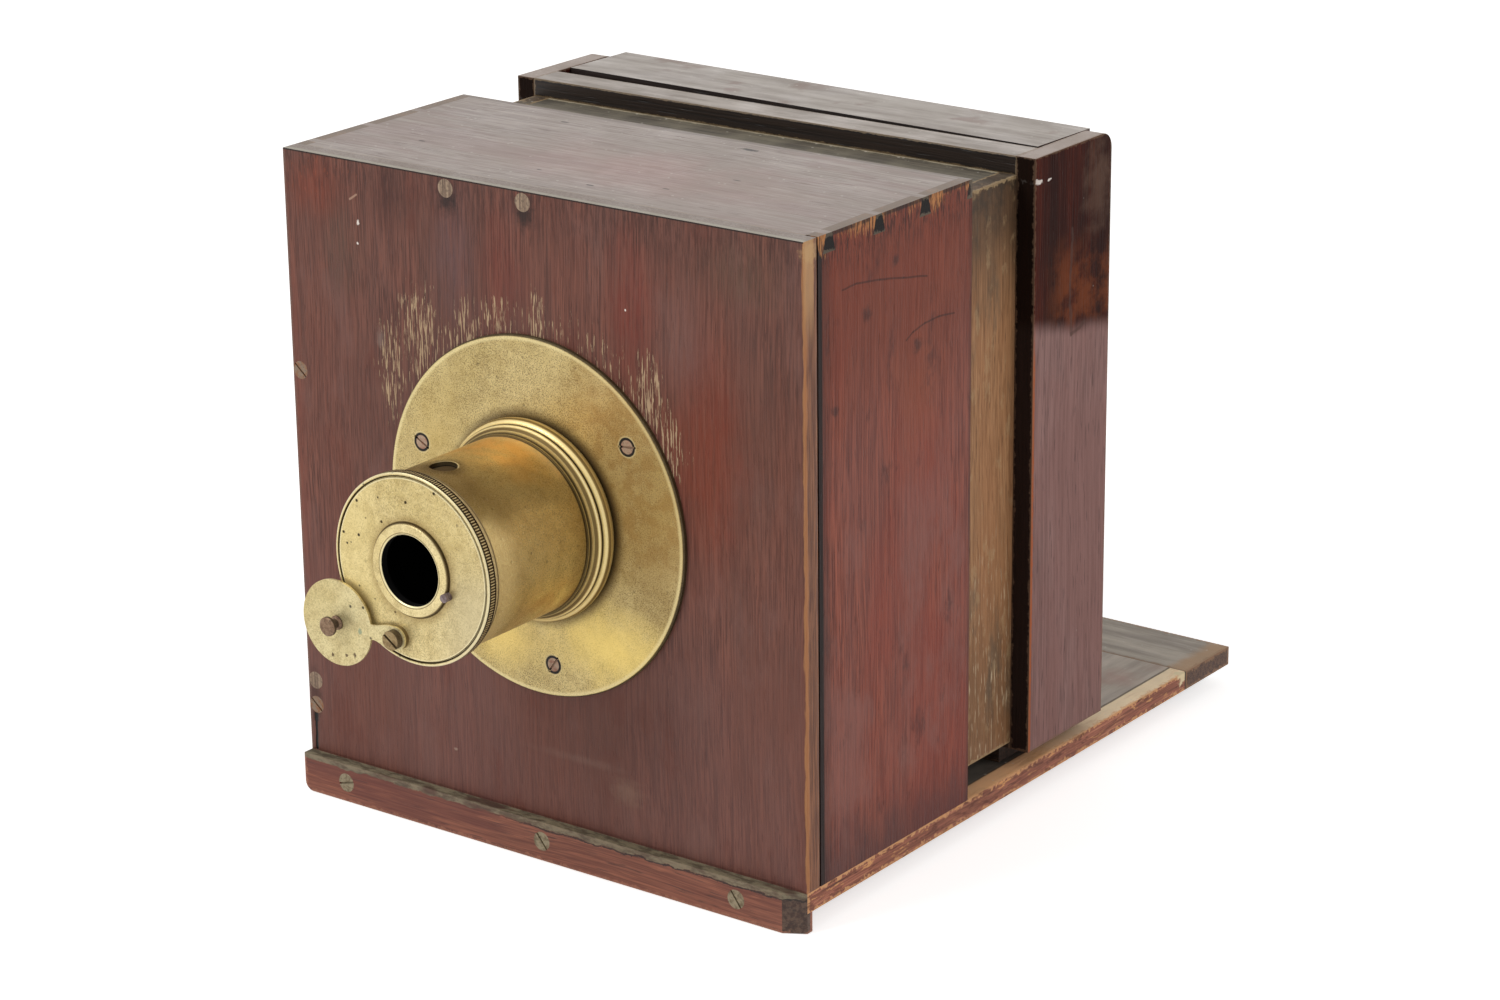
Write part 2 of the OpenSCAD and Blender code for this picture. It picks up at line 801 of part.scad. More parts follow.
module clamp_screw() {
    head_z = runner_z0 + bracket_t + 0.1;
    teeth = 36;
    color("goldenrod") translate([0, clamp_y, 0]) difference() {
        union() {
            translate([0, 0, clamp_nut_z1 - nut_t])
                cylinder(h = head_z - clamp_nut_z1 + nut_t + 1, r = clamp_r);
            translate([0, 0, head_z]) cylinder(h = clamp_head_h, r = clamp_head_r);
        }
        for (i = [0:teeth - 1])
            rotate(i * 360 / teeth) translate([clamp_head_r + 0.3, 0, head_z - cut])
                cylinder(h = clamp_head_h + 2 * cut, r = 0.7, $fn = 16);
    }
}

// Screen back, drawn square with its front face at Y = 0 and then set askew

module in_back() {
    translate([0, back_y, 0]) rotate(-back_skew) translate([0, -back_d / 2, 0]) children();
}

module back_level(z0) {
    in_back() board([-back_w / 2, 0, z0], [back_w / 2, back_d, z0 + back_t]);
}

module back_top_rail() {
    color("dimgray") back_level(body_top - back_t);
}

module back_bottom_rail() {
    color("dimgray") back_level(back_z0);
}

module back_stile(x0) {
    in_back() board([x0, 0, back_z0 + back_t], [x0 + back_t, back_d, body_top - back_t]);
}

module back_left_stile() {
    color("dimgray") back_stile(-back_w / 2);
}

module back_right_stile() {
    color("dimgray") back_stile(back_w / 2 - back_t);
}

module ground_glass() {
    x = back_w / 2 - back_t - glass_fit;
    color("lightblue", 0.6) in_back() board(
        [-x, glass_set, back_z0 + back_t + glass_fit],
        [x, glass_set + glass_t, body_top - back_t - glass_fit]
    );
}

// A frame of four strips, mitred and glued, that lines the inside of the back
module strips(y0, y1) {
    x = back_w / 2 - back_t;
    z0 = back_z0 + back_t;
    z1 = body_top - back_t;
    in_back() difference() {
        board([-x, y0, z0], [x, y1, z1]);
        board([-x + bead_w, y0 - cut, z0 + bead_w], [x - bead_w, y1 + cut, z1 - bead_w]);
    }
}

module screen_stops() {
    color("saddlebrown") strips(glass_set + glass_t, glass_set + glass_t + stop_t);
}

module screen_beads() {
    color("saddlebrown") strips(glass_set - stop_t, glass_set);
}

base_board();
base_end_cleat();
front_batten();
batten_screws();
front_foot();
rear_foot();
foot_screws();
front_board();
outer_top();
outer_bottom();
outer_left_side();
outer_right_side();
front_board_screws();
front_board_plugs();
base_screws();
lens_flange();
flange_screws();
lens_barrel();
lens_cell();
front_element();
rear_element();
lens_retaining_ring();
front_cap();
aperture_ring();
stop_lug();
pivot_screw();
pivot_washer();
shutter_disc();
shutter_knob();
inner_top();
inner_bottom();
inner_left_side();
inner_right_side();
collar_top_rail();
runner_board();
left_cheek();
right_cheek();
clamp_bracket();
bracket_screws();
clamp_nut();
clamp_screw();
back_top_rail();
back_bottom_rail();
back_left_stile();
back_right_stile();
ground_glass();
screen_stops();
screen_beads();
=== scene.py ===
import math

import bpy
from mathutils import Matrix, Vector


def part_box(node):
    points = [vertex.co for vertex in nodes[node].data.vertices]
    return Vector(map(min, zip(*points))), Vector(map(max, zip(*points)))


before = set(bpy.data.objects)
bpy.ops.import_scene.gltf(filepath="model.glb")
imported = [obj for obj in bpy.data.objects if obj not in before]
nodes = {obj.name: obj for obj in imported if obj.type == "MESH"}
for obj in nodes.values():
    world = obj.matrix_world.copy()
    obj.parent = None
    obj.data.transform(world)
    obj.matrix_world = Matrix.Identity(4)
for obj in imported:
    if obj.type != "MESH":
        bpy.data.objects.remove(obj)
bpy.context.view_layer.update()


# The camera stands to the right of the lens and a little above the box, as in
# the photograph, level but for a slight lean, with a long lens.
def place_camera():
    azimuth, elevation, roll = (math.radians(a) for a in (36.569, 18.951, -0.631))
    back = Vector((
        math.sin(azimuth) * math.cos(elevation),
        -math.cos(azimuth) * math.cos(elevation),
        math.sin(elevation),
    ))
    level = Vector((0, 0, 1)).cross(back).normalized()
    upright = back.cross(level)
    right = math.cos(roll) * level + math.sin(roll) * upright
    up = math.cos(roll) * upright - math.sin(roll) * level
    lens = bpy.data.cameras.new("camera")
    lens.sensor_width = 36
    lens.lens = 95.97
    lens.clip_end = 20
    eye = bpy.data.objects.new("camera", lens)
    turned = Matrix((right, up, back)).transposed().to_4x4()
    eye.matrix_world = Matrix.Translation((0.96372, -1.15864, 0.67024)) @ turned
    bpy.context.scene.collection.objects.link(eye)
    bpy.context.scene.camera = eye


place_camera()


# Baseboard: one mahogany board, its grain running from front to back. Its top
# is grey, partly worn by handling and partly a painted sheen; the strip beside the
# box where a guide came off is bare, and the right edge has lost its stain.
def screen_colour(red, green, blue):
    """A colour as a screen shows it, as the light values that a shader takes."""
    shares = [c / 255 for c in (red, green, blue)]
    return tuple(c / 12.92 if c <= 0.04045 else ((c + 0.055) / 1.055) ** 2.4 for c in shares) + (1,)


class Wires:
    """Adds nodes to a material or a group and joins them as they are added."""

    def __init__(self, tree):
        self.tree = tree

    def join(self, value, socket):
        """Wires an output to a socket, or sets it, to a colour as a screen shows it."""
        if isinstance(value, bpy.types.NodeSocket):
            self.tree.links.new(value, socket)
        elif socket.type == "RGBA":
            socket.default_value = screen_colour(*value)
        else:
            socket.default_value = value

    def node(self, kind, inputs=None, **settings):
        made = self.tree.nodes.new("ShaderNode" + kind)
        for name, value in settings.items():
            setattr(made, name, value)
        for name, value in (inputs or {}).items():
            self.join(value, made.inputs[name])
        return made

    def calc(self, operation, *values, clamp=False):
        made = self.node("Math", operation=operation, use_clamp=clamp)
        for socket, value in zip(made.inputs, values):
            self.join(value, socket)
        return made.outputs[0]

    def vector(self, operation, *values):
        made = self.node("VectorMath", operation=operation)
        for socket, value in zip(made.inputs, values):
            self.join(value, socket)
        number = operation in ("LENGTH", "DISTANCE", "DOT_PRODUCT")
        return made.outputs["Value" if number else "Vector"]

    def parts(self, value):
        """X, Y and Z of a vector."""
        return self.node("SeparateXYZ", {"Vector": value}).outputs

    def whole(self, x, y, z):
        return self.node("CombineXYZ", {"X": x, "Y": y, "Z": z}).outputs[0]

    def fade(self, value, start, end):
        """Goes smoothly from 0 at start to 1 at end."""
        limits = {"Value": value, "From Min": start, "From Max": end}
        return self.node("MapRange", limits, interpolation_type="SMOOTHSTEP").outputs["Result"]

    def both(self, *masks):
        """Where all the masks are."""
        result = masks[0]
        for mask in masks[1:]:
            result = self.calc("MULTIPLY", result, mask)
        return result

    def band(self, value, start, full, fading, end):
        """Rises from 0 at start to 1 at full, and falls from 1 at fading to 0 at end."""
        return self.both(self.fade(value, start, full), self.fade(value, end, fading))

    def plus(self, value, noise, share):
        """A value moved by a share of a noise, which makes a straight edge waver."""
        return self.calc("MULTIPLY_ADD", noise, share, value)

    def either(self, *masks):
        """Where any of the masks is."""
        result = masks[0]
        for mask in masks[1:]:
            result = self.calc("MAXIMUM", result, mask)
        return result

    def clouds(self, place, scale, detail=3.0, roughness=0.5):
        """Noise from 0 to 1, so many to the metre."""
        settings = {"Vector": place, "Scale": scale, "Detail": detail, "Roughness": roughness}
        return self.node("TexNoise", settings).outputs["Fac"]

    def specks(self, place, scale, size, channel, few):
        """Dots in random cells, and the few cells whose random number is high."""
        cells = self.node("TexVoronoi", {"Vector": place, "Scale": scale}).outputs
        dots = self.fade(cells["Distance"], *size)
        return dots, self.fade(self.parts(cells["Color"])[channel], *few)

    def mix(self, kind, first, mask, under, over):
        """A Mix node of one kind of socket, the first of which has a place of its own."""
        made = self.node("Mix", data_type=kind)
        for index, value in ((0, mask), (first, under), (first + 1, over)):
            self.join(value, made.inputs[index])
        return made

    def cover(self, mask, under, over):
        """One colour over another, where the mask is."""
        return self.mix("RGBA", 6, mask, under, over).outputs[2]

    def effect(self, group, **inputs):
        """Places a shader node group, and gives its outputs."""
        made = self.node("Group", node_tree=group)
        for name, value in inputs.items():
            self.join(value, made.inputs[name])
        return made.outputs


def new_effect(name, inputs, outputs):
    """An empty node group with named sockets: its wires, what it is given, where it gives."""
    tree = bpy.data.node_groups.new(name, "ShaderNodeTree")
    for label, value in inputs.items():
        kind = "NodeSocketVector" if isinstance(value, tuple) else "NodeSocketFloat"
        tree.interface.new_socket(label, in_out="INPUT", socket_type=kind).default_value = value
    for label in outputs:
        tree.interface.new_socket(label, in_out="OUTPUT", socket_type="NodeSocketFloat")
    given = tree.nodes.new("NodeGroupInput").outputs
    gives = tree.nodes.new("NodeGroupOutput").inputs
    return tree, Wires(tree), given, gives


def make_grain():
    """Mahogany grain along Z: fine fibres, broad bands of figure, and short dark pores."""
    tree, w, given, gives = new_effect(
        "wood grain",
        {"Place": (0, 0, 0), "Fineness": 600.0, "Seed": 0.0},
        ("Fibre", "Figure", "Pores", "Threads", "Zones"),
    )
    seed, fineness = given["Seed"], given["Fineness"]
    shifted = w.vector(
        "MULTIPLY_ADD", w.whole(seed, seed, seed), (0.37, 0.53, 0.71), given["Place"]
    )
    wander = w.node("TexNoise", {"Vector": shifted, "Scale": 7.0, "Detail": 1.0}).outputs["Color"]
    wander = w.vector("MULTIPLY_ADD", wander, (0.008, 0.008, 0), shifted)

    def drawn(share):
        """The place squeezed along the grain, which draws a noise out."""
        return w.vector("MULTIPLY", wander, (1, 1, share))

    coarse = w.clouds(drawn(0.035), fineness, 4.0, 0.6)
    fine = w.clouds(drawn(0.012), w.calc("MULTIPLY", fineness, 2.6), 2.0)
    fibre = w.calc("ADD", w.calc("MULTIPLY", coarse, 0.55), w.calc("MULTIPLY", fine, 0.45))
    w.join(w.fade(fibre, 0.38, 0.62), gives["Fibre"])
    figure = w.clouds(drawn(0.14), 46.0, 5.0, 0.65)
    w.join(w.fade(figure, 0.36, 0.64), gives["Figure"])
    threads = w.clouds(drawn(0.05), w.calc("MULTIPLY", fineness, 1.4), 3.0, 0.6)
    w.join(w.fade(threads, 0.55, 0.68), gives["Threads"])
    zones = w.clouds(drawn(0.4), 13.0, 5.0, 0.6)
    w.join(w.fade(zones, 0.42, 0.6), gives["Zones"])
    dashes = w.clouds(drawn(0.06), w.calc("MULTIPLY", fineness, 1.9), 1.0)
    w.join(w.fade(dashes, 0.63, 0.72), gives["Pores"])
    return tree


def make_wear():
    """Wear along the edges of a squared board, from its middle and half its size."""
    tree, w, given, gives = new_effect(
        "worn edges",
        {"Place": (0, 0, 0), "Middle": (0, 0, 0), "Half": (1, 1, 1), "Width": 0.001, "Ragged": 1.0},
        ("Worn", "Nearness"),
    )
    away = w.vector("ABSOLUTE", w.vector("SUBTRACT", given["Place"], given["Middle"]))
    x, y, z = w.parts(w.vector("ABSOLUTE", w.vector("SUBTRACT", given["Half"], away)))
    near = w.calc("MAXIMUM", w.calc("MINIMUM", x, y), w.calc("MINIMUM", w.calc("MAXIMUM", x, y), z))
    share = w.calc("DIVIDE", near, given["Width"])
    rough = w.calc("SUBTRACT", w.clouds(given["Place"], 380.0, 5.0, 0.65), 0.5)
    torn = w.plus(share, w.calc("MULTIPLY", rough, given["Ragged"]), 4.0)
    w.join(w.fade(torn, 1.0, 0.45), gives["Worn"])
    w.join(w.fade(share, 1.0, 0.0), gives["Nearness"])
    return tree


def make_dust():
    """Dust on what faces up, in drifts and in single specks."""
    tree, w, given, gives = new_effect(
        "settled dust", {"Place": (0, 0, 0), "Up": 0.0}, ("Drift", "Specks")
    )
    flat = w.fade(given["Up"], 0.5, 0.95)
    drift = w.fade(w.clouds(given["Place"], 38.0, 6.0, 0.62), 0.32, 0.7)
    w.join(w.both(flat, drift), gives["Drift"])
    dots, few = w.specks(given["Place"], 330.0, (0.24, 0.12), 0, (0.86, 0.9))
    w.join(w.both(flat, dots, few), gives["Specks"])
    return tree


def make_patch():
    """A patch round a middle, with a ragged or a soft edge."""
    tree, w, given, gives = new_effect(
        "patch",
        {
            "Place": (0, 0, 0),
            "Middle": (0, 0, 0),
            "Size": (1, 1, 1),
            "Core": 0.6,
            "Ragged": 0.3,
            "Fineness": 200.0,
        },
        ("Mask",),
    )
    away = w.vector("DIVIDE", w.vector("SUBTRACT", given["Place"], given["Middle"]), given["Size"])
    rough = w.calc("SUBTRACT", w.clouds(given["Place"], given["Fineness"], 4.0, 0.6), 0.5)
    reach = w.plus(w.vector("LENGTH", away), w.calc("MULTIPLY", rough, given["Ragged"]), 4.0)
    w.join(w.fade(reach, 1.0, given["Core"]), gives["Mask"])
    return tree


def make_line():
    """A scratch, crack or dark joint from one point to another."""
    tree, w, given, gives = new_effect(
        "scored line",
        {"Place": (0, 0, 0), "From": (0, 0, 0), "To": (1, 0, 0), "Width": 0.0005, "Waver": 0.0},
        ("Mask",),
    )
    noise = {"Vector": given["Place"], "Scale": 90.0, "Detail": 3.0}
    rough = w.vector("SUBTRACT", w.node("TexNoise", noise).outputs["Color"], (0.5, 0.5, 0.5))
    waver = {"Vector": rough, "Scale": given["Waver"]}
    rough = w.node("VectorMath", waver, operation="SCALE").outputs["Vector"]
    place = w.vector("ADD", given["Place"], rough)
    there = w.vector("SUBTRACT", place, given["From"])
    whole = w.vector("SUBTRACT", given["To"], given["From"])
    along, full = w.vector("DOT_PRODUCT", there, whole), w.vector("DOT_PRODUCT", whole, whole)
    share = w.calc("DIVIDE", along, full, clamp=True)
    nearest = w.vector("MULTIPLY", whole, w.whole(share, share, share))
    away = w.calc("DIVIDE", w.vector("DISTANCE", there, nearest), given["Width"])
    w.join(w.fade(away, 1.0, 0.4), gives["Mask"])
    return tree


GRAIN, WEAR, DUST, PATCH, LINE = make_grain(), make_wear(), make_dust(), make_patch(), make_line()


class Finish(Wires):
    """A material built up in coats: a colour, a roughness and a relief in millimetres."""

    def __init__(self, name, colour, rough, gloss=0.5, metal=0.0):
        self.material = bpy.data.materials.new(name)
        self.material.use_nodes = True
        super().__init__(self.material.node_tree)
        self.shader = self.tree.nodes["Principled BSDF"]
        self.shader.inputs["Specular IOR Level"].default_value = gloss
        self.shader.inputs["Metallic"].default_value = metal
        self.place = self.node("TexCoord").outputs["Object"]
        self.x, self.y, self.z = self.parts(self.place)
        self.colour, self.rough, self.relief = colour, rough, None

    def normal(self):
        return self.parts(self.node("NewGeometry").outputs["Normal"])

    def facing(self, side):
        """The faces of a board that look up, to the right or to the front."""
        sides = {"up": (2, 0.5, 0.9), "right": (0, 0.5, 0.9), "front": (1, -0.5, -0.9)}
        axis, start, full = sides[side]
        return self.fade(self.normal()[axis], start, full)

    def streaks(self, along, squeeze, scale, detail=3.0, roughness=0.5):
        """Noise drawn out along one axis, where it is squeezed before it is read."""
        squeezed = tuple(squeeze if axis == along else 1 for axis in "xyz")
        return self.clouds(self.vector("MULTIPLY", self.place, squeezed), scale, detail, roughness)

    def coat(self, mask, colour, strength=1.0):
        """Lays a colour over all coats so far, where the mask is."""
        self.colour = self.cover(self.calc("MULTIPLY", mask, strength), self.colour, colour)

    def dull(self, mask, rough):
        """Changes the roughness where the mask is."""
        self.rough = self.mix("FLOAT", 2, mask, self.rough, rough).outputs[0]

    def carve(self, mask, height):
        """Raises the surface by so many millimetres where the mask is, or sinks it."""
        step = self.calc("MULTIPLY", mask, height)
        self.relief = step if self.relief is None else self.calc("ADD", self.relief, step)

    def patch(self, middle, size, core=0.6, ragged=0.3, fineness=200.0):
        form = {"Core": core, "Ragged": ragged, "Fineness": fineness}
        return self.effect(PATCH, Place=self.place, Middle=middle, Size=size, **form)["Mask"]

    def line(self, start, end, width, waver=0.0):
        ends = {"From": start, "To": end}
        return self.effect(LINE, Place=self.place, Width=width, Waver=waver, **ends)["Mask"]

    def grain(self, along, seed, dark, light, pores, threads=None, zones=None, fineness=600.0):
        """Mahogany grain from a dark to a light tone, with pores, threads and zones of colour."""
        turned = {
            "x": (self.y, self.z, self.x),
            "y": (self.x, self.z, self.y),
            "z": (self.x, self.y, self.z),
        }
        wood = self.effect(GRAIN, Place=self.whole(*turned[along]), Fineness=fineness, Seed=seed)
        self.colour = self.cover(wood["Fibre"], dark, light)
        if zones:
            self.coat(wood["Zones"], zones, 0.6)
        if threads:
            self.coat(wood["Threads"], threads, 0.6)
        self.coat(wood["Pores"], pores, 0.7)
        self.carve(wood["Fibre"], 0.05)
        self.carve(wood["Pores"], -0.08)
        return wood

    def wear(self, name, width, colour, strength=0.8, ragged=1.0):
        """Rubs the edges of a node's board down to a paler colour, and rounds them."""
        low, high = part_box(name)
        board = {"Middle": (low + high) / 2, "Half": (high - low) / 2}
        edges = self.effect(WEAR, Place=self.place, Width=width, Ragged=ragged, **board)
        self.coat(edges["Worn"], colour, strength)
        self.carve(edges["Nearness"], -0.25)
        return edges["Worn"]

    def dust(self, colour, strength=0.6, specks=0.5):
        """Dust in drifts on what faces up, and pale specks of it."""
        settled = self.effect(DUST, Place=self.place, Up=self.normal()[2])
        self.coat(settled["Drift"], colour, strength)
        self.dull(settled["Drift"], 0.75)
        self.coat(settled["Specks"], (205, 200, 190), specks)

    def put_on(self, *names):
        """Joins the coats to the shader, and gives the material to the nodes named."""
        self.join(self.colour, self.shader.inputs["Base Color"])
        self.join(self.rough, self.shader.inputs["Roughness"])
        if self.relief is not None:
            bump = self.node("Bump", {"Height": self.relief, "Distance": 0.001})
            self.join(bump.outputs["Normal"], self.shader.inputs["Normal"])
        for name in names:
            for slot in nodes[name].material_slots:
                slot.material = self.material


def finish_base_board():
    low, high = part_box("base_board")
    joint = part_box("base_end_cleat")[0].y
    strip = high.x - 0.0087
    cheek_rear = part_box("right_cheek")[1].y
    wood = Finish("base board mahogany", (150, 80, 60), 0.55, 0.25)
    wood.grain(
        "y", 1.0, dark=(122, 72, 56), light=(170, 106, 84), pores=(76, 44, 34),
        threads=(204, 140, 108), zones=(134, 84, 66),
    )
    # The top, grey from handling and from a painted sheen, with dark streaks behind the camera
    top = wood.facing("up")
    streaks = wood.streaks("y", 0.12, 120.0, 5.0, 0.65)
    grey_and_sheen = wood.cover(wood.fade(streaks, 0.3, 0.7), (162, 149, 139), (198, 185, 172))
    drifts = wood.clouds(wood.place, 22.0, 4.0)
    wood.coat(top, wood.cover(wood.fade(drifts, 0.5, 0.68), grey_and_sheen, (172, 142, 130)))
    # The bare strip beside the box, from tan to cream
    bare = wood.cover(wood.fade(wood.y, 0.15, 0.24), (236, 182, 134), (252, 226, 188))
    patchy = wood.streaks("y", 0.3, 110.0, 5.0, 0.6)
    bare = wood.cover(wood.fade(patchy, 0.5, 0.72), bare, (208, 156, 108))
    ragged = wood.plus(wood.x, wood.clouds(wood.place, 260.0, 4.0), 0.0016)
    wood.coat(wood.both(top, wood.fade(ragged, strip + 0.0002, strip + 0.001)), bare)
    scored = wood.line((strip, 0.113, high.z), (strip, joint, high.z), 0.0008, 0.0006)
    wood.coat(scored, (48, 36, 26), 0.85)
    # Darker in the gap under the rear box
    under = wood.both(
        top, wood.fade(wood.y, cheek_rear + 0.003, cheek_rear - 0.027),
        wood.fade(wood.x, 0.123, 0.12),
    )
    wood.coat(under, (34, 27, 21), 0.9)
    # The right edge, flecked dark and orange, with a break where it meets the cleat
    worn = wood.wear("base_board", 0.0014, (232, 176, 124), 0.7, 1.5)
    flecks = wood.streaks("y", 0.25, 420.0, 4.0, 0.65)
    side = wood.facing("right")
    wood.coat(wood.both(side, wood.fade(flecks, 0.54, 0.64)), (92, 48, 36), 0.7)
    pale = wood.both(
        side, wood.fade(flecks, 0.42, 0.34), wood.fade(wood.z, low.z + 0.0005, low.z + 0.0055)
    )
    wood.coat(pale, (228, 168, 108), 0.75)
    broken = wood.patch(
        (high.x, joint - 0.0032, high.z - 0.0005), (0.004, 0.0046, 0.0052), 0.6, 0.5, 420.0
    )
    wood.coat(broken, (232, 212, 172))
    gap_x, gap_y = high.x + 0.0001, joint - 0.0003
    wood.coat(
        wood.line((gap_x, gap_y, low.z), (gap_x, gap_y, high.z), 0.0008, 0.0015), (60, 40, 28)
    )
    wood.dull(worn, 0.7)
    wood.dust((150, 142, 130), 0.25, 0.3)
    wood.put_on("base_board")


finish_base_board()


# End cleat: a crosspiece tongued on to the rear end, its grain across the
# board, to hold it flat. Dark at the end, greyed and given a painted sheen on top, pale at the
# corner.
def finish_end_cleat():
    low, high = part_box("base_end_cleat")
    wood = Finish("end cleat mahogany", (90, 60, 48), 0.55, 0.35)
    wood.grain("x", 2.0, dark=(66, 44, 36), light=(104, 74, 56), pores=(40, 26, 20))
    # The top: grey streaks, partly dust and partly a painted sheen
    top = wood.facing("up")
    streaks = wood.streaks("x", 0.12, 120.0, 5.0, 0.65)
    wood.coat(top, wood.cover(wood.fade(streaks, 0.3, 0.7), (138, 127, 116), (188, 176, 162)))
    ragged = wood.plus(wood.x, wood.clouds(wood.place, 160.0, 4.0), 0.006)
    corner = wood.fade(ragged, high.x - 0.009, high.x - 0.002)
    wood.coat(wood.both(top, corner), (176, 138, 100), 0.85)
    joint = low.y + 0.0002
    wood.coat(wood.line((low.x, joint, high.z), (high.x, joint, high.z), 0.0005), (40, 30, 24), 0.8)
    wood.wear("base_end_cleat", 0.0016, (150, 112, 80), 0.7)
    wood.dust((150, 142, 130), 0.3, 0.4)
    wood.put_on("base_end_cleat")


finish_end_cleat()


# Feet: two plain lengths of mahogany screwed across the underside, dull and
# scuffed, since nothing but the table ever touches them.
def finish_feet():
    for seed, name in enumerate(("front_foot", "rear_foot")):
        wood = Finish(name.replace("_", " ") + " mahogany", (90, 55, 42), 0.7, 0.3)
        wood.grain("x", 3.0 + seed, dark=(70, 42, 32), light=(112, 70, 52), pores=(40, 24, 18))
        wood.wear(name, 0.0015, (150, 110, 80), 0.6)
        wood.put_on(name)


finish_feet()


# Front batten: a reddish strip screwed across the front edge to hold back the
# box. Glue and dust have caked along its top, and its right end is cut slanting.
def finish_batten():
    slant = 1.6
    crust_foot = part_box("front_batten")[1].z - 0.0003
    wood = Finish("batten mahogany", (130, 70, 60), 0.5, 0.4)
    grain = wood.grain(
        "x", 5.0, dark=(104, 58, 45), light=(146, 90, 70), pores=(66, 36, 28),
        threads=(168, 106, 80), zones=(116, 58, 43),
    )
    wood.coat(wood.fade(grain["Figure"], 0.6, 0.9), (96, 46, 40), 0.5)
    # The cut end, where x less the slant's share of y is the same all along
    cut = wood.fade(wood.plus(wood.x, wood.y, -slant), 0.1268, 0.1276)
    rough = wood.clouds(wood.place, 500.0, 4.0, 0.65)
    cut_end = wood.cover(wood.fade(rough, 0.4, 0.6), (46, 36, 30), (88, 72, 60))
    wood.coat(wood.both(cut, wood.fade(wood.normal()[0], 0.3, 0.5)), cut_end, 0.9)
    wood.wear("front_batten", 0.0013, (178, 120, 92), 0.55)
    # The crust on top, which hangs down over the face, with a painted shadow below it as a dark
    # line
    top = wood.facing("up")
    lumps = wood.streaks("x", 0.4, 300.0, 6.0, 0.7)
    crust = wood.cover(wood.fade(lumps, 0.38, 0.6), (84, 74, 58), (132, 122, 98))
    brown = wood.fade(wood.streaks("x", 0.3, 90.0, 4.0), 0.52, 0.62)
    crust = wood.cover(brown, crust, (78, 56, 44))
    wood.coat(top, crust)
    wood.carve(wood.both(top, lumps), 0.5)
    wood.dull(top, 0.9)
    face = wood.facing("front")
    ledge = wood.plus(wood.z, wood.streaks("x", 0.5, 240.0, 5.0, 0.65), 0.0045)
    wood.coat(wood.both(face, wood.fade(ledge, crust_foot, crust_foot + 0.0004)), crust, 0.9)
    below = wood.fade(ledge, crust_foot + 0.0003, crust_foot)
    # A painted shadow under the crust's edge, on the right half of the face
    crust_shadow = wood.both(face, wood.fade(ledge, crust_foot - 0.0007, crust_foot - 0.0004), below)
    wood.coat(wood.both(crust_shadow, wood.fade(wood.x, -0.05, 0.0)), (26, 18, 14), 0.9)
    wood.put_on("front_batten")


finish_batten()


# Wood screws of the baseboard: iron, slotted, with flat heads let into the wood.
# They have gone brown and patchy. Later sections use this for their own screws.
def make_iron(name, colour, names, rust, heads=(), sides=0.0):
    iron = Finish(name, colour, 0.5, 0.5, 0.35)
    clouds = iron.clouds(iron.place, 420.0, 5.0, 0.65)
    iron.coat(iron.fade(clouds, 0.42, 0.66), rust, 0.8)
    iron.coat(iron.fade(iron.clouds(iron.place, 1400.0, 2.0), 0.6, 0.7), (50, 42, 36), 0.6)
    iron.dull(iron.fade(clouds, 0.4, 0.6), 0.75)
    iron.carve(clouds, 0.15)
    # Painted shade on the faces that do not look to the front, as strong as sides says
    iron.coat(iron.fade(iron.normal()[1], -0.75, -0.35), (38, 26, 18), sides)
    # A head that is smaller than its hole: a dark gap painted as shade, and the pale edge of the
    # hole
    for place, head_r in heads:
        gap_r, hole_r = head_r * 1.36, head_r * 1.8
        near = iron.patch(place, (hole_r, 1, hole_r), 0.95, 0.0)
        head = iron.patch(place, (head_r, 1, head_r), 0.9, 0.02)
        shaded_gap = iron.patch(place, (gap_r, 1, gap_r), 0.93, 0.02)
        bare = iron.calc("SUBTRACT", 1.0, head)
        iron.coat(iron.both(near, bare), iron.cover(shaded_gap, (206, 186, 134), (24, 17, 10)))
    iron.put_on(*names)


make_iron("batten screw iron", (150, 138, 112), ("batten_screws",), (104, 88, 66))
make_iron("underside screw iron", (110, 100, 90), ("foot_screws", "base_screws"), (88, 62, 44))


# Front board: one wide mahogany board, stained purple-brown, its grain upright,
# screwed on the ends of the box's sides. Streaks of bare wood show in an arc
# round the flange, and the right-hand edge is splintered to orange.
LENS_AXIS = (-0.0013, 0, 0.14745)


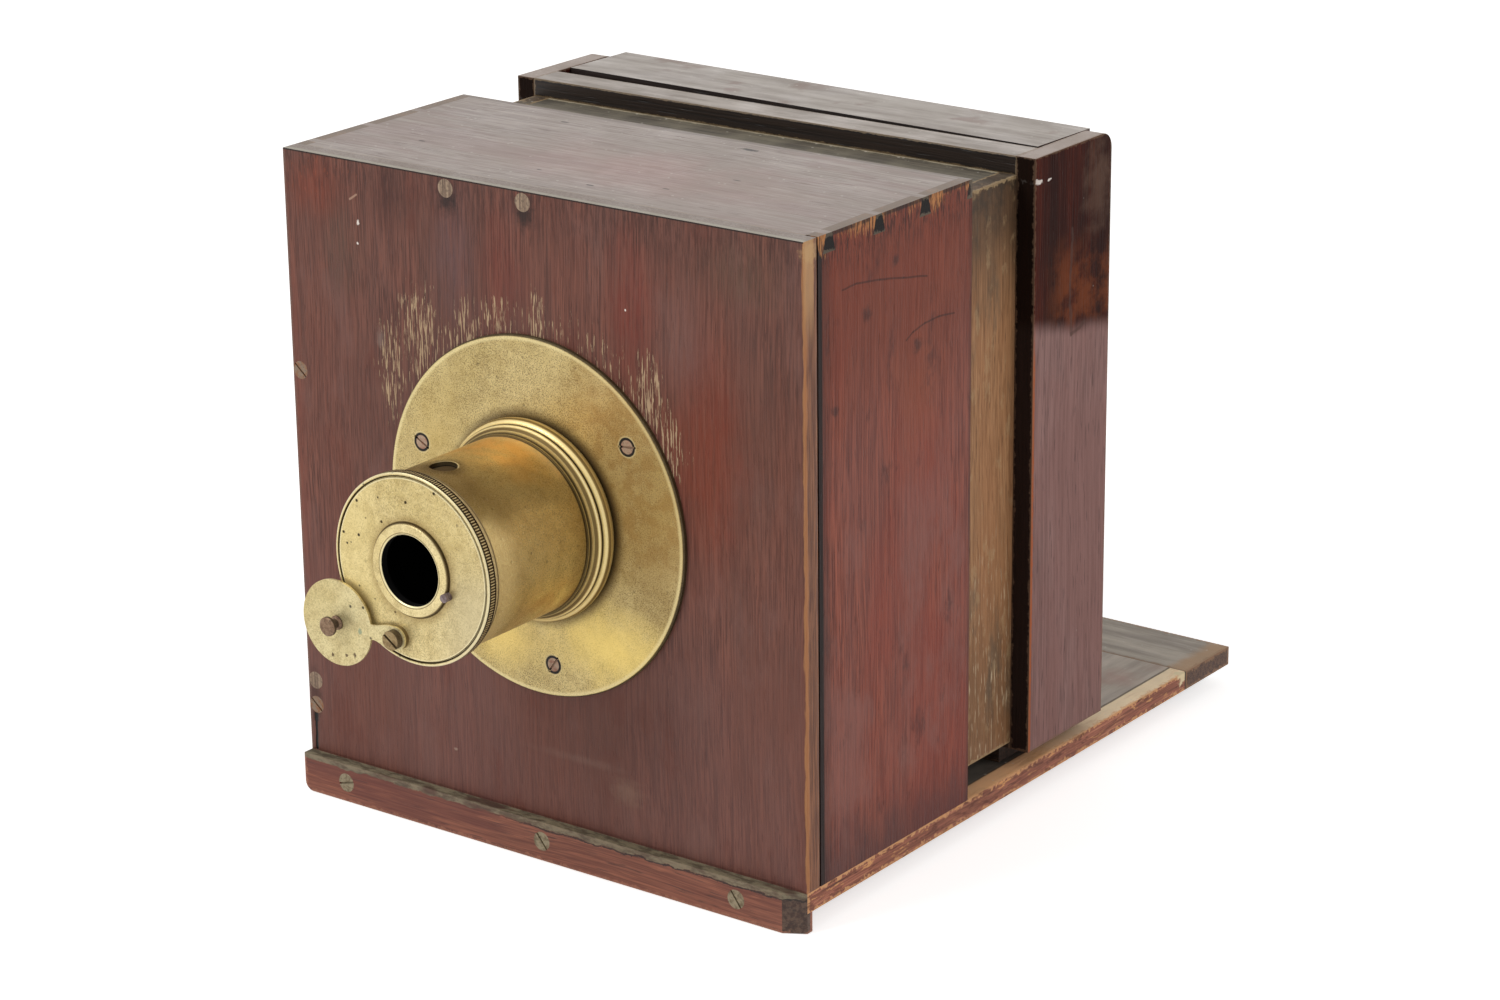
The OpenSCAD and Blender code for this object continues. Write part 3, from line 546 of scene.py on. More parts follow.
def finish_front_board():
    low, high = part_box("front_board")
    wood = Finish("front board mahogany", (96, 52, 44), 0.42, 0.22)
    grain = wood.grain(
        "z", 8.0, dark=(74, 44, 38), light=(133, 85, 71), pores=(56, 32, 28), fineness=900.0
    )
    wood.coat(grain["Threads"], (142, 82, 62), 0.3)
    wood.coat(grain["Zones"], (116, 70, 58), 0.4)
    wood.coat(grain["Figure"], (98, 68, 60), 0.5)
    # The lower half is smoother, and mauve
    calm = wood.fade(wood.plus(wood.z, wood.clouds(wood.place, 24.0, 3.0), 0.05), 0.17, 0.11)
    wood.coat(calm, wood.cover(grain["Zones"], (118, 80, 74), (112, 70, 60)), 0.5)
    # Patches of red, mauve and brown, and an orange corner at the upper left
    uneven = wood.streaks("z", 0.12, 500.0, 4.0, 0.65)
    uneven = wood.plus(0.5, wood.fade(uneven, 0.35, 0.6), 0.5)
    broad = wood.streaks("z", 0.5, 42.0, 5.0, 0.6)
    wood.coat(wood.fade(broad, 0.52, 0.68), (124, 88, 80), 0.4)
    wood.coat(wood.fade(broad, 0.46, 0.32), (100, 50, 38), 0.4)
    for x, z, wide, tall, colour, strength in (
        (-0.017, 0.246, 0.018, 0.04, (122, 54, 42), 0.45),
        (0.048, 0.24, 0.02, 0.044, (124, 50, 38), 0.6),
        (0.084, 0.19, 0.03, 0.07, (132, 58, 42), 0.55),
        (-0.041, 0.25, 0.016, 0.04, (108, 84, 86), 0.45),
        (0.072, 0.23, 0.02, 0.034, (124, 94, 88), 0.45),
        (-0.1, 0.244, 0.018, 0.034, (84, 66, 56), 0.6),
        (-0.114, 0.266, 0.022, 0.018, (136, 60, 38), 0.5),
        (-0.072, 0.268, 0.016, 0.02, (66, 36, 30), 0.6),
        (0.1, 0.264, 0.03, 0.02, (96, 74, 58), 0.5),
        (-0.128, 0.15, 0.006, 0.11, (140, 74, 58), 0.45),
    ):
        patch = wood.patch((x, 0, z), (wide, 0.02, tall), 0.0, 0.22, 50.0)
        wood.coat(wood.both(patch, uneven), colour, strength)
    soot = wood.streaks("z", 0.12, 800.0, 5.0, 0.65)
    sooty = wood.both(wood.fade(wood.z, 0.25, 0.28), wood.fade(soot, 0.44, 0.6))
    wood.coat(sooty, (52, 30, 26), 0.5)
    embers = wood.streaks("z", 0.3, 700.0, 5.0, 0.7)
    left_top = wood.both(wood.fade(wood.x, -0.06, -0.115), wood.fade(wood.z, 0.25, 0.276))
    wood.coat(wood.both(left_top, wood.fade(embers, 0.56, 0.66)), (160, 78, 46), 0.4)
    # Streaks rubbed bare round the top of the flange
    from_axis = wood.vector("MULTIPLY", wood.vector("SUBTRACT", wood.place, LENS_AXIS), (1, 0, 1))
    reach = wood.vector("LENGTH", from_axis)
    arc = wood.both(wood.fade(reach, 0.096, 0.08), wood.fade(wood.z, 0.165, 0.19))
    rubbed = wood.calc("MULTIPLY", arc, 0.7)
    for x, z, wide, tall in (
        (-0.076, 0.197, 0.012, 0.034),
        (-0.06, 0.214, 0.018, 0.034),
        (-0.036, 0.22, 0.01, 0.02),
        (-0.02, 0.227, 0.012, 0.014),
        (0.001, 0.228, 0.008, 0.026),
        (0.056, 0.206, 0.012, 0.036),
        (0.066, 0.186, 0.01, 0.03),
    ):
        rubbed = wood.either(rubbed, wood.patch((x, 0, z), (wide, 0.02, tall), 0.3, 0.12, 120.0))
    dashes = wood.streaks("z", 0.08, 1250.0, 3.0, 0.6)
    threshold = wood.plus(0.705, rubbed, -0.19)
    streaks = wood.fade(wood.calc("SUBTRACT", dashes, threshold), 0.0, 0.035)
    wood.coat(wood.both(streaks, wood.fade(rubbed, 0.05, 0.3)), (190, 162, 130), 0.9)
    wood.dull(streaks, 0.7)
    wood.carve(streaks, -0.1)
    # Pale nicks at the upper left, rubbed places near the bottom, stain run below the
    # plugs, and a dark edge at the lower left
    nick = wood.line((-0.0945, 0, 0.2642), (-0.091, 0, 0.2664), 0.0006, 0.001)
    wood.coat(nick, (186, 150, 128), 0.7)
    white, run = (236, 226, 216), (26, 19, 18)
    for x, z, wide, tall, core, ragged, fineness, colour, strength in (
        (-0.0907, 0.2549, 0.001, 0.0013, 0.5, 0.4, 700.0, white, 1.0),
        (-0.0914, 0.2462, 0.0006, 0.00078, 0.5, 0.4, 700.0, white, 1.0),
        (0.0455, 0.2406, 0.0005, 0.00065, 0.5, 0.4, 700.0, white, 1.0),
        (-0.0811, 0.2078, 0.003, 0.006, 0.2, 0.3, 300.0, (150, 132, 122), 0.4),
        (0.0416, 0.0383, 0.012, 0.008, 0.0, 0.3, 260.0, (146, 118, 100), 0.4),
        (0.018, 0.047, 0.034, 0.003, 0.0, 0.3, 120.0, (140, 110, 98), 0.3),
        (-0.0489, 0.0359, 0.0014, 0.0009, 0.4, 0.3, 500.0, (180, 156, 138), 0.5),
        (-0.0428, 0.2725, 0.0068, 0.0095, 0.2, 0.3, 300.0, run, 0.8),
        (-0.0035, 0.272, 0.0068, 0.0095, 0.2, 0.3, 300.0, run, 0.8),
        (-0.1268, 0.043, 0.006, 0.02, 0.1, 0.3, 200.0, (66, 44, 38), 0.7),
    ):
        mark = wood.patch((x, 0, z), (wide, 0.02, tall), core, ragged, fineness)
        wood.coat(mark, colour, strength)
    # The black crack at the lower left
    crack = wood.either(
        wood.line((-0.1264, 0, 0.0372), (-0.1267, 0, 0.031), 0.0014, 0.0012),
        wood.line((-0.1267, 0, 0.031), (-0.1272, 0, 0.018), 0.0009, 0.0018),
    )
    wood.coat(crack, (8, 6, 5))
    wood.carve(crack, -0.8)
    # The right edge, orange where the polish is worn or split off
    face = wood.facing("front")
    right = wood.facing("right")
    wood.coat(right, wood.cover(grain["Fibre"], (92, 56, 42), (146, 98, 70)))
    worn = wood.wear("front_board", 0.0013, (176, 112, 66), 0.0)
    ragged = wood.plus(wood.x, wood.streaks("z", 0.2, 420.0, 4.0), 0.003)
    split = wood.both(face, wood.fade(ragged, high.x + 0.0005, high.x + 0.0012))
    wood.coat(split, (182, 128, 82), 0.75)
    behind = wood.plus(wood.y, wood.streaks("z", 0.2, 420.0, 4.0), 0.0026)
    front_arris = wood.both(right, wood.fade(behind, low.y + 0.0036, low.y + 0.0026))
    wood.coat(front_arris, (188, 126, 78), 0.65)
    rear_arris = wood.both(
        right, wood.fade(behind, high.y - 0.0001, high.y - 0.0011), wood.fade(wood.z, 0.235, 0.262)
    )
    wood.coat(rear_arris, (194, 150, 104), 0.7)
    corner = wood.patch((high.x, 0.004, high.z - 0.0045), (0.004, 0.006, 0.007), 0.3, 0.4, 400.0)
    wood.coat(corner, (196, 158, 110), 0.7)
    left_arris = wood.both(face, wood.fade(wood.x, low.x + 0.0015, low.x + 0.0003), worn)
    wood.coat(left_arris, (120, 92, 78), 0.6)
    # The top edge, grey, partly bleached and dusty and partly a painted sheen, with a pale arris
    # and a dark line below that
    top = wood.facing("up")
    wood.coat(top, wood.cover(grain["Fibre"], (140, 128, 120), (164, 152, 144)), 0.95)
    wood.coat(
        wood.both(top, wood.fade(wood.y, low.y + 0.0034, low.y + 0.0016)), (176, 170, 156), 0.85
    )
    wood.coat(
        wood.both(face, wood.fade(wood.z, high.z - 0.0008, high.z - 0.0004)), (26, 18, 16), 0.9
    )
    wood.dust((150, 140, 132), 0.2, 0.2)
    wood.put_on("front_board")


finish_front_board()


# Plugs and screws in the front board: slotted screws into the sides, and old
# screw holes filled with round plugs that have gone greyer than the board.
def finish_plugs():
    wood = Finish("plug filler", (122, 98, 84), 0.6, 0.4)
    wood.grain(
        "z", 9.0, dark=(118, 96, 80), light=(170, 146, 122), pores=(78, 62, 52), fineness=900.0
    )
    wood.coat(wood.fade(wood.clouds(wood.place, 700.0, 4.0), 0.5, 0.6), (104, 86, 70), 0.6)
    wood.carve(wood.clouds(wood.place, 900.0, 4.0), 0.3)
    wood.put_on("front_board_plugs")


finish_plugs()
make_iron("front board screw iron", (136, 116, 98), ("front_board_screws",), (150, 96, 56))


# Top of the front box: its grain runs across, and pins cut at both ends fit
# the sides. The polish is bleached to mauve-grey, lightened by a painted sheen, and pitted with old
# nails.
def finish_outer_top():
    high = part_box("outer_top")[1]
    wood = Finish("box top mahogany", (130, 106, 98), 0.42, 0.5)
    grain = wood.grain(
        "x", 12.0, dark=(136, 122, 115), light=(172, 159, 151), pores=(106, 88, 80),
        threads=(184, 171, 162), zones=(152, 135, 127), fineness=700.0,
    )
    middle = wood.patch((0.01, 0.05, 0.28), (0.1, 0.045, 0.05), 0.0, 0.25, 40.0)
    wood.coat(middle, (160, 118, 110), 0.5)
    wood.coat(wood.fade(grain["Figure"], 0.5, 0.9), (138, 112, 106), 0.4)
    # Pins, seen from the end of the grain
    ends = wood.fade(wood.calc("ABSOLUTE", wood.normal()[0]), 0.5, 0.9)
    wood.coat(ends, (16, 11, 9))
    wood.dull(ends, 1.0)
    # Nail pits, a dark dash, and grime at the rear edge
    for x, y, size in (
        (0.0301, 0.1025, 0.003),
        (-0.062, 0.098, 0.0014),
        (0.055, 0.06, 0.0012),
        (-0.09, 0.04, 0.0012),
        (0.012, 0.022, 0.0012),
        (-0.02, 0.03, 0.0009),
        (0.04, 0.034, 0.001),
    ):
        pit = wood.patch((x, y, high.z), (size * 2, size * 0.6, 0.01), 0.4, 0.3, 500.0)
        wood.coat(pit, (24, 17, 15))
        wood.carve(pit, -0.4)
    wood.coat(wood.fade(wood.y, high.y - 0.0045, high.y), (70, 60, 54), 0.6)
    wood.dust((168, 160, 153), 0.45, 0.45)
    wood.wear("outer_top", 0.0014, (156, 140, 120), 0.3)
    wood.put_on("outer_top")


finish_outer_top()


# Sides and bottom of the front box: upright grain, the sides dovetailed to the
# top and screwed behind the front board. The right side is redder, with the
# stain lifted from its top edge round the pins.
def finish_outer_side(name, seed):
    low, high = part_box(name)
    side = high.x if "right" in name else low.x
    front, rear, foot, top = low.y, high.y, low.z, high.z
    wood = Finish(name.replace("_", " ") + " mahogany", (116, 56, 46), 0.38, 0.12)
    grain = wood.grain(
        "z", seed, dark=(94, 46, 38), light=(156, 88, 70), pores=(58, 28, 25), fineness=820.0
    )
    wood.coat(grain["Threads"], (164, 88, 64), 0.3)
    wood.coat(grain["Figure"], (122, 76, 68), 0.45)
    wood.coat(grain["Zones"], (140, 62, 48), 0.5)
    # A pale haze low down, a painted reflection of the floor; redder patches and dark blots
    broad_streaks = wood.streaks("z", 0.6, 26.0, 5.0, 0.6)
    floor_reflection = wood.both(wood.fade(broad_streaks, 0.52, 0.66), wood.fade(wood.z, 0.21, 0.13))
    wood.coat(floor_reflection, (136, 92, 84), 0.5)
    wood.coat(wood.fade(wood.plus(wood.z, broad_streaks, 0.08), 0.225, 0.29), (110, 50, 30), 0.55)
    redder = wood.patch((side, 0.075, 0.2), (0.02, 0.03, 0.04), 0.0, 0.3, 60.0)
    wood.coat(redder, (146, 78, 52), 0.35)
    wood.coat(wood.fade(broad_streaks, 0.44, 0.32), (128, 50, 40), 0.5)
    blots = wood.streaks("z", 0.5, 75.0, 5.0, 0.65)
    wood.coat(wood.fade(blots, 0.58, 0.72), (52, 30, 32), 0.5)
    wood.coat(wood.fade(wood.plus(wood.z, blots, 0.09), 0.09, 0.055), (74, 54, 58), 0.45)
    # Grime behind the front board, with the black joint line, and at the rear; darker towards the
    # foot
    grime = wood.fade(wood.plus(wood.y, blots, -0.012), front + 0.006, front - 0.004)
    wood.coat(grime, (44, 30, 26), 0.5)
    wood.coat(wood.fade(wood.y, front + 0.003, front + 0.0022), (16, 11, 10), 0.92)
    wood.coat(wood.fade(wood.z, foot + 0.033, foot), (60, 40, 36), 0.3)
    wood.coat(wood.fade(wood.y, rear - 0.003, rear), (58, 40, 34), 0.5)
    # The top edge, rubbed through in upright streaks
    streaks = wood.streaks("z", 0.14, 1100.0, 5.0, 0.7)
    broken = wood.streaks("z", 0.5, 75.0, 4.0, 0.6)
    level = wood.plus(wood.plus(wood.z, broken, 0.036), streaks, 0.03)
    wood.coat(wood.fade(level, top + 0.03, top + 0.034), (190, 130, 78), 0.85)
    dark = wood.fade(wood.streaks("z", 0.14, 900.0, 4.0, 0.65), 0.48, 0.57)
    wood.coat(wood.both(wood.fade(wood.z, top - 0.0245, top - 0.003), dark), (50, 26, 22), 0.8)
    arris = wood.both(wood.fade(wood.z, top - 0.002, top - 0.001), wood.fade(broken, 0.62, 0.5))
    wood.coat(arris, (40, 28, 24), 0.8)
    # Two curved scratches and a few dark knocks
    for points in (
        ((0.025, 0.2562), (0.034, 0.2568), (0.05, 0.2546), (0.066, 0.2516), (0.082, 0.2485)),
        ((0.0677, 0.2258), (0.0725, 0.2283), (0.0806, 0.2299), (0.0905, 0.2302), (0.1012, 0.2291)),
    ):
        for (y0, z0), (y1, z1) in zip(points, points[1:]):
            scratch = wood.line((side, y0, z0), (side, y1, z1), 0.0006, 0.0008)
            wood.coat(scratch, (44, 26, 22), 0.6)
    for y, z, size in (
        (0.0753, 0.2221, 0.0042),
        (0.0601, 0.2599, 0.0032),
        (0.0411, 0.2428, 0.0042),
        (0.02, 0.21, 0.003),
    ):
        knock = wood.patch((side, y, z), (0.01, size, size), 0.2, 0.5, 300.0)
        wood.coat(knock, (46, 30, 30), 0.6)
    # The faces that look up are grey, partly bleached and dusty, partly a painted sheen
    wood.coat(wood.facing("up"), (150, 136, 124), 0.8)
    wood.dust((160, 150, 142), 0.3, 0.15)
    wood.put_on(name)


finish_outer_side("outer_left_side", 15.0)
finish_outer_side("outer_right_side", 16.0)


def finish_outer_bottom():
    wood = Finish("box bottom mahogany", (90, 55, 42), 0.6, 0.35)
    wood.grain("x", 18.0, dark=(66, 38, 30), light=(100, 62, 48), pores=(40, 24, 18))
    wood.wear("outer_bottom", 0.001, (140, 100, 72), 0.5)
    wood.dust((130, 120, 104), 0.5, 0.3)
    wood.put_on("outer_bottom")


finish_outer_bottom()


# Rear box: mahogany boards under a worn yellowish finish, sliding in the front
# box. Its top is black with old polish and dust, its sides rubbed bare below.
def finish_inner_side(name, seed):
    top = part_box(name)[1].z
    wood = Finish(name.replace("_", " ") + " mahogany", (130, 105, 70), 0.55, 0.22)
    grain = wood.grain(
        "z", seed, dark=(132, 94, 63), light=(172, 127, 89), pores=(86, 60, 42), fineness=800.0
    )
    wood.coat(grain["Threads"], (196, 152, 112), 0.35)
    wood.coat(grain["Zones"], (128, 94, 64), 0.5)
    wood.coat(grain["Figure"], (158, 106, 68), 0.4)
    # Black towards the top, browner at the foot
    wood.coat(wood.fade(wood.z, 0.205, 0.27), (54, 42, 32), 0.8)
    crust = wood.fade(wood.clouds(wood.place, 90.0, 5.0, 0.65), 0.4, 0.6)
    wood.coat(wood.both(crust, wood.fade(wood.z, top - 0.0376, top - 0.0006)), (44, 40, 33), 0.6)
    wood.coat(wood.fade(wood.z, 0.12, 0.05), (88, 66, 46), 0.4)
    # Smears of old polish, and pale rubs and scuffs
    smears = wood.streaks("z", 0.3, 70.0, 5.0, 0.6)
    wood.coat(wood.fade(smears, 0.52, 0.68), (80, 72, 60), 0.6)
    rubs = wood.streaks("z", 0.5, 130.0, 5.0, 0.65)
    wood.coat(wood.fade(rubs, 0.56, 0.66), (178, 150, 112), 0.35)
    scuffs = wood.streaks("z", 0.12, 900.0, 3.0)
    wood.coat(
        wood.both(wood.fade(scuffs, 0.58, 0.68), wood.fade(wood.z, 0.15, 0.06)), (206, 184, 152),
        0.7,
    )
    wood.wear(name, 0.0014, (176, 150, 112), 0.6)
    wood.dust((150, 142, 130), 0.4, 0.4)
    wood.put_on(name)


finish_inner_side("inner_left_side", 21.0)
finish_inner_side("inner_right_side", 22.0)


def finish_inner_levels():
    rail_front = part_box("collar_top_rail")[0].y
    wood = Finish("rear box top mahogany", (80, 75, 60), 0.6, 0.4)
    wood.grain(
        "x", 23.0, dark=(60, 54, 46), light=(96, 88, 76), pores=(30, 26, 22),
        threads=(116, 106, 90), fineness=520.0,
    )
    wood.dust((134, 126, 108), 0.6, 0.5)
    # A line of dust and cobweb at the foot of the collar's rail
    fluff = wood.plus(wood.y, wood.clouds(wood.place, 200.0, 5.0, 0.7), 0.006)
    wood.coat(wood.fade(fluff, rail_front + 0.0008, rail_front + 0.0026), (188, 176, 148), 0.9)
    crumbs, few = wood.specks(wood.place, 420.0, (0.3, 0.18), 1, (0.8, 0.84))
    bits = wood.both(crumbs, few)
    near = wood.fade(wood.y, rail_front - 0.006, rail_front)
    wood.coat(wood.both(bits, near), (226, 218, 204), 0.9)
    wood.put_on("inner_top", "inner_bottom")


finish_inner_levels()


# Collar: a black top rail between two cheeks, which takes the back. The right
# cheek keeps its polish at the top, is burnt orange below that, and is pale lower down with a
# painted reflection of the floor.
def finish_top_rail():
    wood = Finish("collar rail mahogany", (48, 38, 31), 0.45, 0.3)
    wood.grain("x", 24.0, dark=(24, 17, 13), light=(42, 31, 24), pores=(14, 10, 8), fineness=460.0)
    # The top, grey with streaks: partly dust, partly a painted sheen
    top = wood.facing("up")
    streaks = wood.streaks("x", 0.15, 150.0, 5.0, 0.65)
    wood.coat(top, wood.cover(wood.fade(streaks, 0.3, 0.7), (146, 136, 128), (198, 188, 180)))
    wood.wear("collar_top_rail", 0.0008, (140, 118, 90), 0.6, 0.6)
    wood.dust((150, 142, 132), 0.35, 0.5)
    wood.put_on("collar_top_rail")


finish_top_rail()


def finish_cheek(name, seed):
    low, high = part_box(name)
    side = high.x if "right" in name else low.x
    # The cheek's first colours, pale and hazy, are a painted reflection of the floor, which shows
    # below the polished top
    wood = Finish(name.replace("_", " ") + " mahogany", (110, 78, 74), 0.42, 0.02)
    grain = wood.grain(
        "z", seed, dark=(120, 94, 90), light=(153, 120, 115), pores=(98, 75, 73),
        zones=(138, 100, 94), fineness=700.0,
    )
    # At the top, above the painted reflection, the wood is a dark glossy red-brown
    polished = wood.cover(grain["Fibre"], (56, 22, 16), (84, 34, 22))
    polished = wood.cover(grain["Figure"], polished, (44, 20, 16))
    waver = wood.clouds(wood.place, 34.0, 3.0, 0.5)
    inward = wood.calc("SUBTRACT", wood.y, low.y - 0.001)
    level = wood.plus(wood.plus(wood.z, waver, 0.006), inward, 0.2)
    upper = wood.fade(level, 0.2085, 0.2175)
    wood.coat(upper, polished)
    wood.dull(upper, 0.3)
    mottle = wood.fade(wood.clouds(wood.place, 70.0, 5.0, 0.65), 0.35, 0.62)
    burn = wood.both(wood.band(level, 0.21, 0.219, 0.234, 0.258), mottle)
    wood.coat(wood.both(burn, wood.fade(wood.y, 0.158, 0.18)), (124, 64, 34), 0.65)
    brown = wood.patch((high.x, 0.202, 0.262), (0.02, 0.016, 0.03), 0.0, 0.5, 90.0)
    wood.coat(brown, (110, 84, 70), 0.5)
    # White chips and knocks near the front arris
    for y, z, dy, dz in ((0.157, 0.2705, 0.0034, 0.0013), (0.1645, 0.27, 0.0016, 0.0007)):
        chip = wood.patch((side, y, z), (0.02, dy, dz), 0.5, 0.8, 700.0)
        wood.coat(chip, (226, 216, 208), 0.9)
    flecks, few = wood.specks(wood.place, 115.0, (0.085, 0.04), 1, (0.93, 0.95))
    wood.coat(wood.both(flecks, few), (206, 190, 180), 0.8)
    # A scorched run down the middle
    points = ((0.183, 0.245), (0.181, 0.222), (0.183, 0.2), (0.192, 0.203))
    for start, end in zip(points, points[1:]):
        wood.coat(wood.line((side, *start), (side, *end), 0.0012, 0.004), (84, 62, 56), 0.6)
    # The front edge is black, the top edge pale, partly worn and partly a painted sheen, and the
    # lower arris orange
    wood.coat(wood.facing("front"), (26, 19, 15), 0.95)
    wood.coat(wood.facing("up"), (186, 172, 163), 0.9)
    arris = wood.plus(wood.y, wood.clouds(wood.place, 300.0, 4.0), 0.0014)
    lower = wood.both(
        wood.fade(wood.z, 0.215, 0.19), wood.fade(arris, low.y + 0.0026, low.y + 0.002)
    )
    wood.coat(wood.both(lower, wood.facing("right")), (176, 92, 48), 0.8)
    wood.wear(name, 0.001, (140, 112, 90), 0.35)
    wood.dust((150, 142, 132), 0.35, 0.4)
    wood.put_on(name)


finish_cheek("left_cheek", 25.0)
finish_cheek("right_cheek", 26.0)


def finish_runner():
    wood = Finish("runner board mahogany", (60, 44, 34), 0.65, 0.3)
    wood.grain("x", 27.0, dark=(40, 29, 23), light=(66, 48, 38), pores=(24, 18, 14))
    wood.wear("runner_board", 0.001, (120, 92, 70), 0.5)
    wood.dust((130, 120, 104), 0.6, 0.4)
    wood.put_on("runner_board")


finish_runner()


# Focusing clamp: a bent brass plate screwed behind the runner board, with a
# milled screw through it and a square nut that bears on the baseboard.
def make_brass_age():
    """Old brass: broad tarnish, fine dark speckle, rubbed specks, pits, and lathe marks round Y."""
    tree, w, given, gives = new_effect(
        "old brass", {"Place": (0, 0, 0), "Seed": 0.0}, (
            "Tarnish", "Blotches", "Speckle", "Rubbed", "Pits", "Lathe"
        )
    )
    shifted = w.vector("ADD", given["Place"], w.whole(given["Seed"], given["Seed"], given["Seed"]))
    w.join(w.fade(w.clouds(shifted, 26.0, 5.0, 0.6), 0.3, 0.7), gives["Tarnish"])
    w.join(w.fade(w.clouds(shifted, 170.0, 5.0, 0.65), 0.42, 0.64), gives["Blotches"])
    fine = w.clouds(shifted, 1800.0, 3.0, 0.7)
    drift = w.clouds(shifted, 60.0, 3.0)
    w.join(w.fade(w.plus(fine, drift, 0.16), 0.56, 0.7), gives["Speckle"])
    w.join(w.fade(w.clouds(shifted, 1300.0, 4.0, 0.7), 0.53, 0.66), gives["Rubbed"])
    dots, few = w.specks(shifted, 300.0, (0.26, 0.12), 0, (0.91, 0.94))
    w.join(w.both(dots, few), gives["Pits"])
    x, y, z = w.parts(given["Place"])
    reach = w.calc("SQRT", w.calc("ADD", w.calc("MULTIPLY", x, x), w.calc("MULTIPLY", z, z)))
    rings = w.clouds(w.whole(reach, w.calc("MULTIPLY", y, 1.0), 0.0), 1900.0, 2.0)
    w.join(rings, gives["Lathe"])
    return tree


BRASS_AGE = make_brass_age()


class Brass(Finish):
    """Brass under old lacquer. Its places are measured from the axis of the lens."""

    def __init__(self, name, bright, tarnished, rough, seed, speckle=0.5, pits=0.5, metal=0.9):
        super().__init__(name, bright, rough, 0.5, metal)
        self.turned = self.vector("SUBTRACT", self.place, LENS_AXIS)
        self.reach = self.vector("LENGTH", self.vector("MULTIPLY", self.turned, (1, 0, 1)))
        self.age = self.effect(BRASS_AGE, Place=self.turned, Seed=seed)
        self.coat(self.age["Tarnish"], tarnished)
        self.coat(self.age["Blotches"], (146, 118, 62), 0.3)
        self.coat(self.age["Rubbed"], (252, 236, 186), 0.3)
        self.coat(self.age["Speckle"], (84, 66, 36), speckle)
        self.coat(self.age["Pits"], (40, 30, 20), pits)
        self.dull(self.age["Speckle"], 0.6)
        self.carve(self.age["Lathe"], 0.02)
        self.carve(self.age["Speckle"], -0.02)
        self.carve(self.age["Pits"], -0.06)

    def lit_and_shaded_rings(self, y, rows, where=None):
        """Painted highlights on beads and painted shade in grooves round the tube, each so far
        forward and so wide to either side.
        """
        for forward, half, colour, strength in rows:
            off = self.calc("ABSOLUTE", self.calc("ADD", y, forward))
            line = self.fade(off, half * 1.4, half * 0.6)
            self.coat(line if where is None else self.both(where, line), colour, strength)

    def blacken(self, inside, black, metal, gloss):
        """Blacks the inside against stray light, where the metal's shine goes too."""
        self.coat(inside, black)
        self.dull(inside, 0.95)
        self.join(self.plus(metal, inside, -metal), self.shader.inputs["Metallic"])
        self.shader.inputs["Specular IOR Level"].default_value = gloss


def finish_clamp():
    metal = Brass("clamp brass", (178, 150, 92), (140, 108, 60), rough=0.4, seed=3.1)
    metal.put_on("clamp_bracket", "clamp_nut", "clamp_screw")


finish_clamp()
make_iron("bracket screw iron", (130, 118, 100), ("bracket_screws",), (110, 80, 56))


# Screen back: a shallow mahogany frame pushed in between the cheeks, a little
# askew, with the ground glass held between two rebated strips of lighter wood.
def finish_back():
    for seed, name in enumerate(
        ("back_top_rail", "back_bottom_rail", "back_left_stile", "back_right_stile")
    ):
        wood = Finish(name.replace("_", " ") + " mahogany", (70, 48, 40), 0.5, 0.4)
        along = "x" if "rail" in name else "z"
        wood.grain(
            along, 31.0 + seed, dark=(50, 32, 27), light=(84, 56, 46), pores=(30, 20, 17),
            fineness=460.0,
        )
        # The top, grey with streaks and patches: partly dust, partly a painted sheen
        top = wood.facing("up")
        streaks = wood.streaks("x", 0.15, 130.0, 5.0, 0.65)
        wood.coat(top, wood.cover(wood.fade(streaks, 0.3, 0.7), (154, 144, 137), (196, 188, 181)))
        patchy = wood.fade(wood.clouds(wood.place, 55.0, 4.0), 0.58, 0.72)
        wood.coat(wood.both(top, patchy), (136, 112, 104), 0.6)
        wood.coat(wood.facing("front"), (24, 18, 15), 0.85)
        wood.dust((156, 148, 138), 0.35, 0.5)
        wood.put_on(name)


finish_back()


def finish_strips():
    wood = Finish("screen strip wood", (120, 84, 58), 0.55, 0.35)
    wood.grain(
        "x", 37.0, dark=(92, 60, 42), light=(132, 92, 64), pores=(58, 38, 28), fineness=700.0
    )
    wood.put_on("screen_stops", "screen_beads")


finish_strips()


def finish_ground_glass():
    glass = Finish("ground glass", (206, 214, 208), 0.55, 0.5)
    grind = glass.clouds(glass.place, 2400.0, 2.0)
    glass.coat(glass.fade(glass.clouds(glass.place, 30.0, 4.0), 0.4, 0.7), (190, 196, 186), 0.6)
    glass.carve(grind, 0.03)
    glass.shader.inputs["Transmission Weight"].default_value = 0.6
    glass.put_on("ground_glass")


finish_ground_glass()


# Lens flange: a turned brass disc screwed to the front board. It is pale and
# finely speckled, olive brown to the right of the tube, with a painted reflection of the floor in
# yellow below it.
SCREW_CIRCLE, FLANGE_FACE = 0.0615, -0.0023
FLANGE_SCREWS = [
    (
        LENS_AXIS[0] + SCREW_CIRCLE * math.cos(math.radians(turn)),
        FLANGE_FACE,
        LENS_AXIS[2] + SCREW_CIRCLE * math.sin(math.radians(turn)),
    )
    for turn in (38.7, 160.0, 277.4)
]


